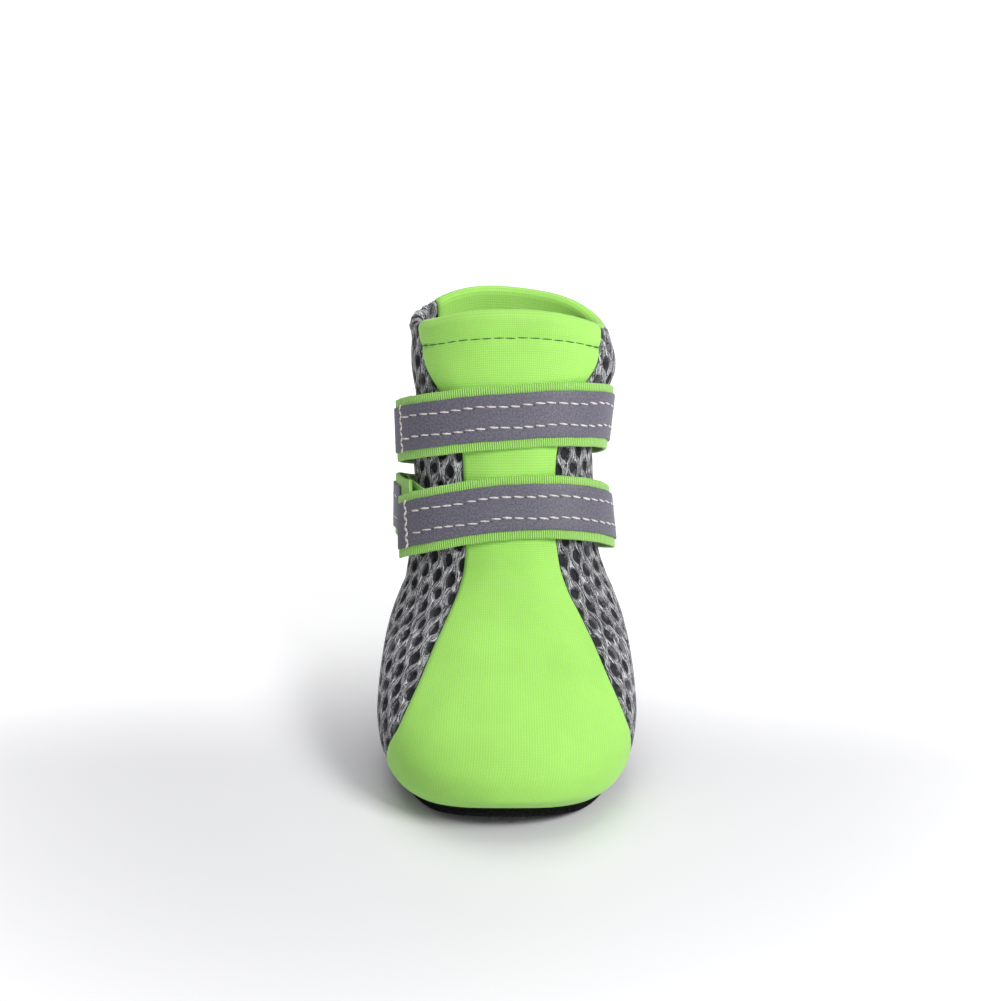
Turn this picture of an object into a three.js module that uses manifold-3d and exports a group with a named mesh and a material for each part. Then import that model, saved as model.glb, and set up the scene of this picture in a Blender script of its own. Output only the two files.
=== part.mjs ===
// A soft dog boot with a round paw-shaped toe, two hook-and-loop straps and a dotted fabric sole.
// Millimetres, +Z up, toe towards -Y, the dog's left on +X. The boot stands on the dots of its sole.
// The shaft leans back over the heel. Every surface comes from one loft: skin(level, angle, offset).

import * as THREE from 'three';
import { mergeVertices } from 'three/addons/utils/BufferGeometryUtils.js';
import Module from 'manifold-3d';

// Driving sizes
const WALL = 2.4;
const PANEL_THICKNESS = 1.0;
const PANEL_BED = 1.2;
const SEAM_GAP = 0.3;
const HEM_STEP = 0.5;
const SOLE_THICKNESS = 3.2;
const DOT_HEIGHT = 0.8;
const DOT_TOP_RADIUS = 1.5;
const DOT_TIP_RADIUS = 1.15;
const DOT_PITCH = 6.2;
const DOT_SIDES = 6;
const DOT_ROOT = 0.6;
const INSOLE_THICKNESS = 1.2;
const STRAP_WIDTH = 16;
const WEBBING = 1.1;
const TAPE_WIDTH = 11.6;
const TAPE = 0.4;
const PILE = 1.0;
const PILE_WIDTH = 14.6;

// The sole rolls up in front of TOE_ROLL and a little behind HEEL_ROLL, both measured back from the toe tip.
const TOE_ROLL = 12;
const TOE_SPRING = 4.8;
const HEEL_ROLL = 60;
const HEEL_RATE = 0.06;

// The origin lies under the middle of the boot's length, this far behind the toe tip.
const ORIGIN_BACK = 54.95;

// The sole's edge from below: how far each layer stands out from the upper's lowest section, and its height.
const SOLE_EDGE = [
  { grow: -1.6, up: 0.8 },
  { grow: 0.1, up: 1.3 },
  { grow: 0.6, up: 1.9 },
  { grow: 0.3, up: 3.2 },
];
const SOLE_RINGS = 6;
const INSOLE_RINGS = 5;
const INSOLE_GAP = 0.45;

const NO_DOT_MARGIN = 0.5;
const AROUND_PANEL = 10;
const AROUND_REST = 28;
const STEPS_PER_SECTION = 2;

// Each row is one section of the boot's outside, a closed curve through a front and a rear point of the side
// profile. Along is the distance behind the toe tip and up the height. half is the half width, corner the
// exponent of its rounding, egg how much wider it is in front, follow how far it follows the sole's roll,
// panel the half angle of the front panel, crown how far the front and the rear rise above the sides, and
// sway how far the soft shaft has sunk to one side.
const SECTION_COLUMNS = [
  'frontAlong', 'frontUp', 'rearAlong', 'rearUp', 'half', 'corner', 'egg', 'follow', 'panel', 'crown', 'sway',
];
const SECTIONS = [
  [1.8, 3.5, 61.2, 3.5, 26, 2, 0.1, 1, 70, 0, 0],
  [0.5, 6, 66, 6.4, 29.6, 2.06, 0.09, 0.8, 70, 0, 0],
  [0, 9.4, 71, 10.4, 31.7, 2.14, 0.08, 0.45, 68, 0, 0],
  [1.4, 15, 75.2, 15.2, 32.5, 2.22, 0.07, 0.15, 64, 0, 0],
  [6, 20.2, 77.4, 19.2, 32.2, 2.28, 0.06, 0, 57, 0, 0],
  [13, 24.4, 78.6, 22.8, 31.6, 2.3, 0.05, 0, 50, 0, 0],
  [22, 28.8, 79.2, 25.6, 30.7, 2.25, 0.04, 0, 45, 0, 0],
  [31, 33, 79.5, 27.8, 29.4, 2.2, 0.03, 0, 41, 0, 0],
  [40, 37.4, 79.9, 29.8, 27.6, 2.2, 0.02, 0, 36, 0, 0],
  [47.6, 42.6, 80.9, 32.4, 25.6, 2.2, 0.01, 0, 31, 0, -0.2],
  [53, 50.6, 84, 39.2, 23.8, 2.2, 0, 0, 29, 0, -0.5],
  [58.3, 62.4, 89.3, 50, 23, 2.2, 0, 0, 30, 0, -0.8],
  [63.8, 73.6, 95, 60.4, 23, 2.2, 0, 0, 32, 0.6, -0.8],
  [68.4, 81.8, 100.2, 69, 23.4, 2.25, 0, 0, 42, 2.4, -0.1],
  [73.1, 89.8, 105.4, 78.8, 25.4, 2.3, 0, 0, 56, 5, 1],
  [76.9, 97.6, 109.6, 88.6, 24.9, 2.35, 0, 0, 64, 7, 0.7],
].map((row) => Object.fromEntries(SECTION_COLUMNS.map((name, place) => [name, row[place]])));
const TOP = SECTIONS.length - 1;
const HEM_LEVEL = 14.05;
const HEM_RAMP = 0.1;

// Each row is one strap. level is the section its middle crosses at the front, lean its tilt off level, drop
// how far its fastened side hangs in degrees, end the turn where its free end lies and spiral how much of the
// stations' rise it takes.
const STRAPS = [
  { name: 'lower', level: 10.78, lean: 33, drop: 3, end: 427, spiral: 1 },
  { name: 'upper', level: 12.63, lean: 33, drop: 4, end: 433, spiral: 0.1 },
];
const LOWEST_STRAP_LEVEL = 7;

// The share of a hollow under the strap's edge that the stiff webbing sinks into.
const STRAP_SAG = 0.35;

// Stations of the webbing's run, as turns round the shaft in degrees: 0 is the front, 90 the dog's right,
// where it fastens, 180 the heel seam and 270 the dog's left. Each strap's column is its stand-off from the
// shaft, and rise how far it climbs off its plane. The run starts under its own free end, lies higher there
// than the free end does, and bulges off the shaft on both sides.
const RUN = [
  { turn: 60, lower: 2.6, upper: 2.6, rise: 1 },
  { turn: 90, lower: 3.5, upper: 3.2, rise: 4 },
  { turn: 122, lower: 1.9, upper: 1.9, rise: 3.8 },
  { turn: 150, lower: 0.6, upper: 0.6, rise: 2 },
  { turn: 185, lower: 0.5, upper: 0.5, rise: 0 },
  { turn: 225, lower: 1.6, upper: 1.1, rise: -1 },
  { turn: 268, lower: 3.2, upper: 1.9, rise: -2.4 },
  { turn: 305, lower: 1.8, upper: 1.2, rise: -1 },
  { turn: 350, lower: 0.6, upper: 0.6, rise: 0 },
  { turn: 385, lower: 1.6, upper: 1.6, rise: -0.8 },
  { turn: 410, lower: 3.4, upper: 3.3, rise: -2 },
  { turn: 434, lower: 4.7, upper: 4.5, rise: -3 },
];
const RUN_STEP = 7;

// The tape starts clear of the free end and stops a little short of the webbing's end.
const TAPE_START_TURN = 4;
const TAPE_END_TURN = 1.2;

// The loop pile is a strip of its own between the shaft and the fastened side of the run.
const PILE_RUN = [
  { turn: 46, off: 0.5, rise: -1.5 },
  { turn: 66, off: 0.6, rise: 1.5 },
  { turn: 88, off: 0.8, rise: 4 },
  { turn: 112, off: 0.5, rise: 4 },
];

// How often a search halves its range, and the step of a slope taken from two points.
const HALVINGS = 24;
const SLOPE_STEP = 0.02;

const radians = THREE.MathUtils.degToRad;

function cubic(a, b, c, d, t) {
  const slopeIn = (c - a) / 2;
  const slopeOut = (d - b) / 2;
  const bend = 2 * b - 2 * c + slopeIn + slopeOut;
  const sag = 3 * c - 3 * b - 2 * slopeIn - slopeOut;
  return ((bend * t + sag) * t + slopeIn) * t + b;
}

// The value of one column of a table at a level between its rows.
function column(rows, key, level) {
  const last = rows.length - 1;
  const row = Math.min(Math.floor(level), last - 1);
  const at = (index) => rows[Math.min(Math.max(index, 0), last)][key];
  return cubic(at(row - 1), at(row), at(row + 1), at(row + 2), level - row);
}

// How far the underside of the sole is off the floor, at a distance behind the toe tip.
function roll(along) {
  if (along < TOE_ROLL) return TOE_SPRING * ((TOE_ROLL - along) / TOE_ROLL) ** 2;
  if (along > HEEL_ROLL) return HEEL_RATE * (along - HEEL_ROLL) ** 2;
  return 0;
}

function superEllipse(angle, corner) {
  const c = Math.cos(angle);
  const s = Math.sin(angle);
  const reach = (Math.abs(c) ** corner + Math.abs(s) ** corner) ** (-1 / corner);
  return { forward: c * reach, side: s * reach };
}

// A point of the boot's outside. angle 0 is the front and a quarter turn the dog's left side.
function surface(level, angle) {
  const get = (key) => column(SECTIONS, key, level);
  const { forward, side } = superEllipse(angle, get('corner'));
  const along = (get('frontAlong') * (1 + forward) + get('rearAlong') * (1 - forward)) / 2;
  const up = (get('frontUp') * (1 + forward) + get('rearUp') * (1 - forward)) / 2;
  const crown = get('crown') * forward ** 2;
  return new THREE.Vector3(
    get('sway') + get('half') * side * (1 + get('egg') * forward),
    along - ORIGIN_BACK,
    up + crown + get('follow') * roll(along)
  );
}

function outward(level, angle) {
  const low = Math.max(level - SLOPE_STEP, 0);
  const high = Math.min(level + SLOPE_STEP, TOP);
  const climb = surface(high, angle).sub(surface(low, angle));
  const turn = surface(level, angle + SLOPE_STEP).sub(surface(level, angle - SLOPE_STEP));
  return turn.cross(climb).normalize();
}

// The outside moved out by an offset, or in by a negative one.
function skin(level, angle, offset) {
  return surface(level, angle).addScaledVector(outward(level, angle), offset);
}

function solid(points, triangles) {
  const geometry = new THREE.BufferGeometry();
  const places = new Float32Array(points.flatMap((p) => p.toArray()));
  geometry.setAttribute('position', new THREE.BufferAttribute(places, 3));
  geometry.setIndex(triangles);
  geometry.computeVertexNormals();
  return geometry;
}

function quad(triangles, a, b, c, d) {
  triangles.push(a, b, c, a, c, d);
}

// A slab between two grids of points of the same shape: its outside, its inside and the four edges.
function slab(outer, inner) {
  const rows = outer.length;
  const columns = outer[0].length;
  const triangles = [];
  const o = (r, c) => r * columns + c;
  const i = (r, c) => rows * columns + r * columns + c;
  for (let r = 0; r < rows - 1; r++) {
    for (let c = 0; c < columns - 1; c++) {
      quad(triangles, o(r, c), o(r, c + 1), o(r + 1, c + 1), o(r + 1, c));
      quad(triangles, i(r, c), i(r + 1, c), i(r + 1, c + 1), i(r, c + 1));
    }
    quad(triangles, o(r, 0), o(r + 1, 0), i(r + 1, 0), i(r, 0));
    quad(triangles, o(r, columns - 1), i(r, columns - 1), i(r + 1, columns - 1), o(r + 1, columns - 1));
  }
  for (let c = 0; c < columns - 1; c++) {
    quad(triangles, o(0, c), i(0, c), i(0, c + 1), o(0, c + 1));
    quad(triangles, o(rows - 1, c), o(rows - 1, c + 1), i(rows - 1, c + 1), i(rows - 1, c));
  }
  return solid([...outer.flat(), ...inner.flat()], triangles);
}

const LEVELS = [];
for (let step = 0; step <= TOP * STEPS_PER_SECTION; step++) LEVELS.push(step / STEPS_PER_SECTION);
LEVELS.push(HEM_LEVEL - HEM_RAMP);
LEVELS.sort((a, b) => a - b);

function panelHalfAngle(level) {
  return radians(column(SECTIONS, 'panel', level));
}

// The angles round one section: first across the panel's bed, then round the rest, back to the start.
function panelAngles(level, trim = 0) {
  const half = panelHalfAngle(level) - trim;
  return Array.from({ length: AROUND_PANEL + 1 }, (_, k) => -half + (2 * half * k) / AROUND_PANEL);
}

function restAngles(level) {
  const half = panelHalfAngle(level);
  const span = 2 * Math.PI - 2 * half;
  return Array.from({ length: AROUND_REST + 1 }, (_, k) => half + (span * k) / AROUND_REST);
}

function hem(level) {
  return THREE.MathUtils.clamp((level - HEM_LEVEL) / HEM_RAMP + 1, 0, 1) * HEM_STEP;
}

// The hollow upper: one wall from the sole's edge to the collar, with a sunk bed down its front.
function upperGeometry() {
  const points = [];
  const triangles = [];
  const outerCount = AROUND_PANEL + 1 + AROUND_REST + 1;
  const innerCount = AROUND_PANEL + AROUND_REST;
  for (const level of LEVELS) {
    for (const angle of panelAngles(level)) points.push(skin(level, angle, -PANEL_BED));
    for (const angle of restAngles(level)) points.push(skin(level, angle, hem(level)));
  }
  const innerStart = points.length;
  for (const level of LEVELS) {
    const ring = [...panelAngles(level).slice(0, -1), ...restAngles(level).slice(0, -1)];
    for (const angle of ring) points.push(skin(level, angle, -WALL));
  }
  const o = (r, c) => r * outerCount + (c % outerCount);
  const i = (r, c) => innerStart + r * innerCount + (c % innerCount);
  const innerOf = (c) => (c <= AROUND_PANEL ? c : c - 1) % innerCount;
  const last = LEVELS.length - 1;
  for (let r = 0; r < last; r++) {
    for (let c = 0; c < outerCount; c++) quad(triangles, o(r, c), o(r, c + 1), o(r + 1, c + 1), o(r + 1, c));
    for (let c = 0; c < innerCount; c++) quad(triangles, i(r, c), i(r + 1, c), i(r + 1, c + 1), i(r, c + 1));
  }
  for (let c = 0; c < outerCount; c++) {
    const here = innerOf(c);
    const next = innerOf((c + 1) % outerCount);
    triangles.push(o(0, c), i(0, here), o(0, c + 1));
    triangles.push(o(last, c), o(last, c + 1), i(last, here));
    if (here !== next) {
      triangles.push(o(0, c + 1), i(0, here), i(0, next));
      triangles.push(o(last, c + 1), i(last, next), i(last, here));
    }
  }
  return solid(points, triangles);
}

// The front panel fills its bed from the toe to the collar, clear of the bed's floor and sides.
function frontPanelGeometry() {
  const grid = (offset) =>
    LEVELS.map((level) => {
      const reach = surface(level, panelHalfAngle(level));
      const trim = SEAM_GAP / Math.hypot(reach.x, reach.y - surface(level, 0).y);
      return panelAngles(level, trim).map((angle) => skin(level, angle, offset));
    });
  const top = PANEL_THICKNESS + SEAM_GAP - PANEL_BED;
  return slab(grid(top), grid(top - PANEL_THICKNESS));
}

// A plate whose outline is the bottom section grown by each layer's offset. Each layer follows the roll.
function plateGeometry(layers, shrinkSteps) {
  const around = AROUND_PANEL + AROUND_REST;
  const centre = new THREE.Vector2(0, (SECTIONS[0].frontAlong + SECTIONS[0].rearAlong) / 2 - ORIGIN_BACK);
  const outline = (grow) =>
    Array.from({ length: around }, (_, k) => {
      const edge = surface(0, (2 * Math.PI * k) / around);
      const spoke = new THREE.Vector2(edge.x, edge.y).sub(centre);
      return spoke.setLength(spoke.length() + grow).add(centre);
    });
  const rings = [];
  const rolled = (p, up) => new THREE.Vector3(p.x, p.y, up + roll(p.y + ORIGIN_BACK));
  const addRing = (flat, up) => rings.push(flat.map((p) => rolled(p, up)));
  const first = layers[0];
  const final = layers[layers.length - 1];
  const shrunk = (flat, share) => flat.map((p) => p.clone().sub(centre).multiplyScalar(share).add(centre));
  for (let s = 1; s < shrinkSteps; s++) addRing(shrunk(outline(first.grow), s / shrinkSteps), first.up);
  for (const layer of layers) addRing(outline(layer.grow), layer.up);
  for (let s = shrinkSteps - 1; s > 0; s--) addRing(shrunk(outline(final.grow), s / shrinkSteps), final.up);
  const points = rings.flat();
  const triangles = [];
  const at = (r, c) => r * around + (c % around);
  for (let r = 0; r < rings.length - 1; r++) {
    for (let c = 0; c < around; c++) quad(triangles, at(r, c), at(r, c + 1), at(r + 1, c + 1), at(r + 1, c));
  }
  const low = points.push(new THREE.Vector3(centre.x, centre.y, first.up)) - 1;
  const high = points.push(new THREE.Vector3(centre.x, centre.y, final.up)) - 1;
  for (let c = 0; c < around; c++) {
    triangles.push(low, at(0, c + 1), at(0, c));
    triangles.push(high, at(rings.length - 1, c), at(rings.length - 1, c + 1));
  }
  return solid(points, triangles);
}

const wasm = await Module();
wasm.setup();

function toManifold(geometry) {
  const bare = geometry.clone();
  bare.deleteAttribute('normal');
  bare.deleteAttribute('uv');
  const merged = mergeVertices(bare);
  return new wasm.Manifold(
    new wasm.Mesh({
      numProp: 3,
      vertProperties: new Float32Array(merged.attributes.position.array),
      triVerts: new Uint32Array(merged.index.array),
    })
  );
}

function toGeometry(manifold) {
  const mesh = manifold.getMesh();
  const geometry = new THREE.BufferGeometry();
  geometry.setAttribute('position', new THREE.BufferAttribute(new Float32Array(mesh.vertProperties), 3));
  geometry.setIndex(new THREE.BufferAttribute(new Uint32Array(mesh.triVerts), 1));
  geometry.computeVertexNormals();
  return geometry;
}

// The places of the sole's dots: staggered rows over the part of the sole that is clear of its edge.
function dotPlaces() {
  const places = [];
  const rowPitch = (DOT_PITCH * Math.sqrt(3)) / 2;
  const middle = (SECTIONS[0].frontAlong + SECTIONS[0].rearAlong) / 2;
  const halfLength = (SECTIONS[0].rearAlong - SECTIONS[0].frontAlong) / 2;
  const rows = Math.floor(halfLength / rowPitch);
  const perSide = Math.floor(SECTIONS[0].half / DOT_PITCH) + 1;
  for (let row = -rows; row <= rows; row++) {
    const along = middle + row * rowPitch;
    const shift = row % 2 === 0 ? 0 : DOT_PITCH / 2;
    for (let k = -perSide; k <= perSide; k++) {
      const x = k * DOT_PITCH + shift;
      const forward = (middle - along) / halfLength;
      const half = SECTIONS[0].half * (1 + SECTIONS[0].egg * forward);
      const room = 1 - (NO_DOT_MARGIN + DOT_TOP_RADIUS) / SECTIONS[0].half;
      if (Math.hypot(x / half, forward) < room) places.push({ x, along });
    }
  }
  return places;
}

function outsoleGeometry() {
  let sole = toManifold(plateGeometry(SOLE_EDGE, SOLE_RINGS));
  for (const { x, along } of dotPlaces()) {
    const dot = new THREE.CylinderGeometry(DOT_TOP_RADIUS, DOT_TIP_RADIUS, DOT_HEIGHT + DOT_ROOT, DOT_SIDES);
    dot.rotateX(Math.PI / 2);
    dot.translate(x, along - ORIGIN_BACK, (DOT_HEIGHT + DOT_ROOT) / 2 + roll(along));
    sole = sole.add(toManifold(dot));
  }
  return toGeometry(sole);
}

function insoleGeometry() {
  const inset = -WALL - 3 * SEAM_GAP;
  const low = SOLE_THICKNESS + INSOLE_GAP;
  const edge = [
    { grow: inset, up: low },
    { grow: inset, up: low + INSOLE_THICKNESS },
  ];
  return plateGeometry(edge, INSOLE_RINGS);
}

// The tilted frame of a strap: its middle at the front and the direction across its width.
function strapFrame(strap) {
  const axis = new THREE.Vector3(0, Math.sin(radians(strap.lean)), Math.cos(radians(strap.lean)));
  const back = new THREE.Vector3(0, axis.z, -axis.y);
  return { middle: surface(strap.level, 0), axis: axis.applyAxisAngle(back, -radians(strap.drop)) };
}

// Where the shaft meets the strap's plane, or one across from it, at a turn, and the way out in that plane.
function girdle(strap, turn, across) {
  const { middle, axis } = strapFrame(strap);
  const angle = -radians(turn);
  let low = LOWEST_STRAP_LEVEL;
  let high = TOP;
  for (let pass = 0; pass < HALVINGS; pass++) {
    const mid = (low + high) / 2;
    if (surface(mid, angle).sub(middle).dot(axis) > across) high = mid;
    else low = mid;
  }
  const out = outward(low, angle);
  out.addScaledVector(axis, -out.dot(axis)).normalize();
  return { point: surface(low, angle), out, axis };
}

// One point of a strap: a turn round it, a height across its width, a stand-off from the shaft and a rise off
// its plane. The band is straight across, from what carries its lower edge to what carries its upper edge.
function strapPoint(strap, turn, across, off, rise) {
  const { point, out, axis } = girdle(strap, turn, rise);
  const rest = [-STRAP_WIDTH / 2, STRAP_WIDTH / 2].map((edge) => {
    const swell = girdle(strap, turn, rise + edge).point.sub(point).dot(out);
    return swell > 0 ? swell : swell * STRAP_SAG;
  });
  const lean = THREE.MathUtils.lerp(rest[0], rest[1], across / STRAP_WIDTH + 0.5);
  return point.addScaledVector(out, off + lean).addScaledVector(axis, across);
}

// The value in one column of a run at a turn, drawn smoothly between its stations.
function station(run, key, turn) {
  const next = run.findIndex((row) => row.turn >= turn);
  const index = Math.min(Math.max(next, 1), run.length - 1);
  const before = run[index - 1];
  const share = (turn - before.turn) / (run[index].turn - before.turn);
  return column(run, key, index - 1 + THREE.MathUtils.clamp(share, 0, 0.9999));
}

// A flat band round the shaft between two turns. off gives the stand-off of its inside at a turn.
function bandGeometry(strap, { from, to, width, thickness, off, run }) {
  const steps = Math.ceil((to - from) / RUN_STEP);
  const turns = Array.from({ length: steps + 1 }, (_, k) => from + ((to - from) * k) / steps);
  const rise = (turn) => strap.spiral * station(run, 'rise', turn);
  const edge = (across, extra) =>
    turns.map((turn) => strapPoint(strap, turn, across, off(turn) + extra, rise(turn)));
  const grid = (extra) => [edge(width / 2, extra), edge(-width / 2, extra)];
  return slab(grid(thickness), grid(0));
}

const COLOURS = {
  sole: { color: 0x161616, roughness: 0.95, metalness: 0 },
  insole: { color: 0x55565c, roughness: 0.95, metalness: 0 },
  mesh: { color: 0x83858c, roughness: 0.9, metalness: 0 },
  panel: { color: 0x8df04a, roughness: 0.85, metalness: 0 },
  webbing: { color: 0x7fc43a, roughness: 0.8, metalness: 0 },
  tape: { color: 0x77747f, roughness: 0.45, metalness: 0.1 },
  pile: { color: 0x3f7a12, roughness: 1, metalness: 0 },
};

const boot = new THREE.Group();

function addPiece(name, geometry, colour) {
  const mesh = new THREE.Mesh(geometry, new THREE.MeshStandardMaterial(COLOURS[colour]));
  mesh.name = name;
  boot.add(mesh);
}

addPiece('outsole', outsoleGeometry(), 'sole');
addPiece('insole', insoleGeometry(), 'insole');
addPiece('upper', upperGeometry(), 'mesh');
addPiece('front_panel', frontPanelGeometry(), 'panel');

for (const strap of STRAPS) {
  const webbingOff = (turn) => station(RUN, strap.name, turn);
  const webbing = {
    run: RUN,
    from: RUN[0].turn,
    to: strap.end,
    width: STRAP_WIDTH,
    thickness: WEBBING,
    off: webbingOff,
  };
  const tape = {
    run: RUN,
    from: strap.end - 360 + TAPE_START_TURN,
    to: strap.end - TAPE_END_TURN,
    width: TAPE_WIDTH,
    thickness: TAPE,
    off: (turn) => webbingOff(turn) + WEBBING + SEAM_GAP,
  };
  const pile = {
    run: PILE_RUN,
    from: PILE_RUN[0].turn,
    to: PILE_RUN[PILE_RUN.length - 1].turn,
    width: PILE_WIDTH,
    thickness: PILE,
    off: (turn) => station(PILE_RUN, 'off', turn),
  };
  addPiece(`${strap.name}_strap_webbing`, bandGeometry(strap, webbing), 'webbing');
  addPiece(`${strap.name}_strap_tape`, bandGeometry(strap, tape), 'tape');
  addPiece(`${strap.name}_strap_pile`, bandGeometry(strap, pile), 'pile');
}

export default boot;
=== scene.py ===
"""Looks of a soft dog boot: mesh sides, a stretch front panel, two straps and a dotted sole.

Sizes are in millimetres, as on the maker's pattern, and turned to metres where a vertex is placed. The boot's
outside is one loft: a point on it has a level up the boot, an angle round it and an offset from it.
"""

import math

import bmesh
import bpy
import numpy as np
from bpy.props import FloatProperty, FloatVectorProperty, PointerProperty
from mathutils import Matrix, Vector


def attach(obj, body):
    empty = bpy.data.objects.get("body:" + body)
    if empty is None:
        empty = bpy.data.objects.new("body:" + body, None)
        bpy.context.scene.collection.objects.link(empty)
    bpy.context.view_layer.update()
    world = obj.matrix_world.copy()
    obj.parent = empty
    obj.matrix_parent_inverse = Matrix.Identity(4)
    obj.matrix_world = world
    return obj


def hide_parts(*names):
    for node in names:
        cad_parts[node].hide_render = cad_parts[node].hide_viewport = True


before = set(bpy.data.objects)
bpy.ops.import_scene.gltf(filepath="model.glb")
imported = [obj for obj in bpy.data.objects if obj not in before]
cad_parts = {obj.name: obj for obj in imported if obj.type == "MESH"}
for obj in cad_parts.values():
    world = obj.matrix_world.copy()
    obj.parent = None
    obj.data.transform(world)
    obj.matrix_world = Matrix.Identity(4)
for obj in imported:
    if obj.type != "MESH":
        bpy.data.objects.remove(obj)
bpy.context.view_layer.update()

bl_info = {
    "name": "Dog Boot",
    "version": (1, 0, 0),
    "blender": (4, 5, 0),
    "location": "View3D > Sidebar > Dog Boot",
    "description": "Builds the visible pieces of a soft dog boot",
    "category": "Mesh",
}

MM = 0.001
MERGE = 0.000001

# Each row is one section of the boot's outside, a closed curve through a front and a rear point of the side
# profile. Along is the distance behind the toe tip, up the height, half the half width, corner the exponent
# of its rounding, egg how much wider it is in front, follow how far it follows the sole's roll, panel the
# half angle of the front panel in degrees, crown how far the front and the rear rise above the sides, and
# sway how far the soft shaft has sunk to one side.
COLUMNS = "front_along front_up rear_along rear_up half corner egg follow panel crown sway".split()
SECTIONS = np.array(
    [
        (1.8, 3.5, 61.2, 3.5, 26.0, 2.00, 0.10, 1.00, 67, 0.0, 0.0),
        (0.5, 6.0, 66.0, 6.4, 29.6, 2.06, 0.09, 0.80, 67, 0.0, 0.0),
        (0.0, 9.4, 71.0, 10.4, 31.7, 2.14, 0.08, 0.45, 65, 0.0, 0.0),
        (1.4, 15.0, 75.2, 15.2, 32.5, 2.22, 0.07, 0.15, 61, 0.0, 0.0),
        (6.0, 20.2, 77.4, 19.2, 32.2, 2.28, 0.06, 0.00, 55, 0.0, 0.0),
        (13.0, 24.4, 78.6, 22.8, 31.6, 2.30, 0.05, 0.00, 50, 0.0, 0.0),
        (22.0, 28.8, 79.2, 25.6, 30.7, 2.25, 0.04, 0.00, 45, 0.0, 0.0),
        (31.0, 33.0, 79.5, 27.8, 29.4, 2.20, 0.03, 0.00, 41, 0.0, 0.0),
        (40.0, 37.4, 79.9, 29.8, 27.6, 2.20, 0.02, 0.00, 36, 0.0, 0.0),
        (47.6, 42.6, 80.9, 32.4, 25.6, 2.20, 0.01, 0.00, 31, 0.0, -0.2),
        (53.0, 50.6, 84.0, 39.2, 23.8, 2.20, 0.00, 0.00, 29, 0.0, -0.5),
        (58.3, 62.4, 89.3, 50.0, 23.0, 2.20, 0.00, 0.00, 30, 0.0, -0.8),
        (63.8, 73.6, 95.0, 60.4, 23.0, 2.20, 0.00, 0.00, 32, 0.6, -0.8),
        (68.4, 81.8, 100.2, 69.0, 23.4, 2.25, 0.00, 0.00, 42, 2.4, -0.1),
        (73.1, 89.8, 105.4, 78.8, 25.4, 2.30, 0.00, 0.00, 56, 5.0, 1.0),
        (76.9, 97.6, 109.6, 88.6, 24.9, 2.35, 0.00, 0.00, 64, 7.0, 0.7),
    ]
)
TOP = len(SECTIONS) - 1
ORIGIN_BACK = 54.95
SLOPE_STEP = 0.02

# The sole rolls up in front of TOE_ROLL and behind HEEL_ROLL, measured back from the toe tip.
TOE_ROLL = 12.0
TOE_SPRING = 4.8
HEEL_ROLL = 60.0
HEEL_RATE = 0.06

WALL = 2.4

# The sole cloth's rings run from the middle of its underside over its edge, onto the upper as a lip, and back
# in on top. A row is how far a ring stands past the sole's outline and its height. A row of the lip is its
# level and its offset from the upper, and the lip is higher beside the toe.
SOLE_COLUMNS = 128
SOLE_RINGS = 12
SOLE_UNDERSIDE = (-1.5, 0.8)
SOLE_EDGE = ((-0.7, 0.86), (-0.05, 1.1), (0.35, 1.5), (0.6, 2.0), (0.66, 2.6))
SOLE_LIP = ((0.04, 0.62), (0.2, 0.6), (0.36, 0.52), (0.42, 0.3), (0.42, -0.2), (0.1, -0.9))
SOLE_TOPSIDE = (-1.2, 3.2)
LIP_HEIGHT = 1.15
LIP_RISE = 1.2

# The grip dots are flattened balls that stand DOT_HEIGHT out of the sole cloth, their middles DOT_ROOT in it.
DOT_HEIGHT = 0.8
DOT_ROOT = 0.3
DOT_RADIUS = 1.5
DOT_PITCH = 6.2
NO_DOT_MARGIN = 0.5

# The collar is a fold: the cloth turns over FOLD_RADIUS from FOLD_START and goes on down the inside. Above
# FOLD_START a level is a length of cloth past the fold's start, at FOLD_RATE millimetres a level.
FOLD_RADIUS = WALL / 2
FOLD_RATE = 10.0
FOLD_START = TOP - FOLD_RADIUS / FOLD_RATE
FOLD_END = FOLD_START + math.pi * FOLD_RADIUS / FOLD_RATE

# The worn collar stands higher at its rear corner on the dog's right, from one level to another. A row of the
# swellings is a side's rolled mesh: its height, the level and angle of its middle, and its reach in each.
COLLAR_LIFT = 1.6
COLLAR_LIFT_ANGLE = math.radians(-120)
COLLAR_LIFT_FROM = 12.9
COLLAR_LIFT_TO = 14.8
SWELLINGS = {-1: (1.2, FOLD_START + 0.05, 1.85, 0.3, 0.45), 1: (1.7, 14.0, 1.6, 0.7, 0.5)}

# Creases of the worn cloth: how deep, at which level, how far they reach in levels, and for the waves of
# the heel and of the pull round the shaft how fast they follow each other.
ANKLE_CREASE = 0.5
ANKLE_LEVEL = 9.4
ANKLE_REACH = 0.35
HEEL_CREASE = 0.55
HEEL_LEVEL = 8.9
HEEL_REACH = 0.9
HEEL_WAVE_START = 8.2
HEEL_WAVE = 5.0
PULL_CREASE = 0.3
PULL_WAVE = 2.6
PULL_TWIST = 3.0

# The backing and the net over it. Offsets are from the boot's outside. The net is cut from a slanted lattice
# of square cells, and NET_INSET is the share of a cell from its edge to a hole's rim.
BACKING_COLUMNS = 144
BACKING_ROWS = 176
BACKING_DEPTH = -1.05
MESH_HEM = 12.0
MEAN_RADIUS = 28.0
NET_CELLS = 36
NET_START = (-4, -20)
NET_ROUND = 86.0
NET_DOWN = (-22.0, 132.0)
NET_INSET = 0.21
NET_CUTS = 3
NET_LOWEST = 0.1
NET_BACK = -1.15
CELL_MIDDLE = 0.05
CELL_RIM = 0.49
LEVEL_LENGTH = 6.0
RADIUS_LIMITS = (8, 40)

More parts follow.
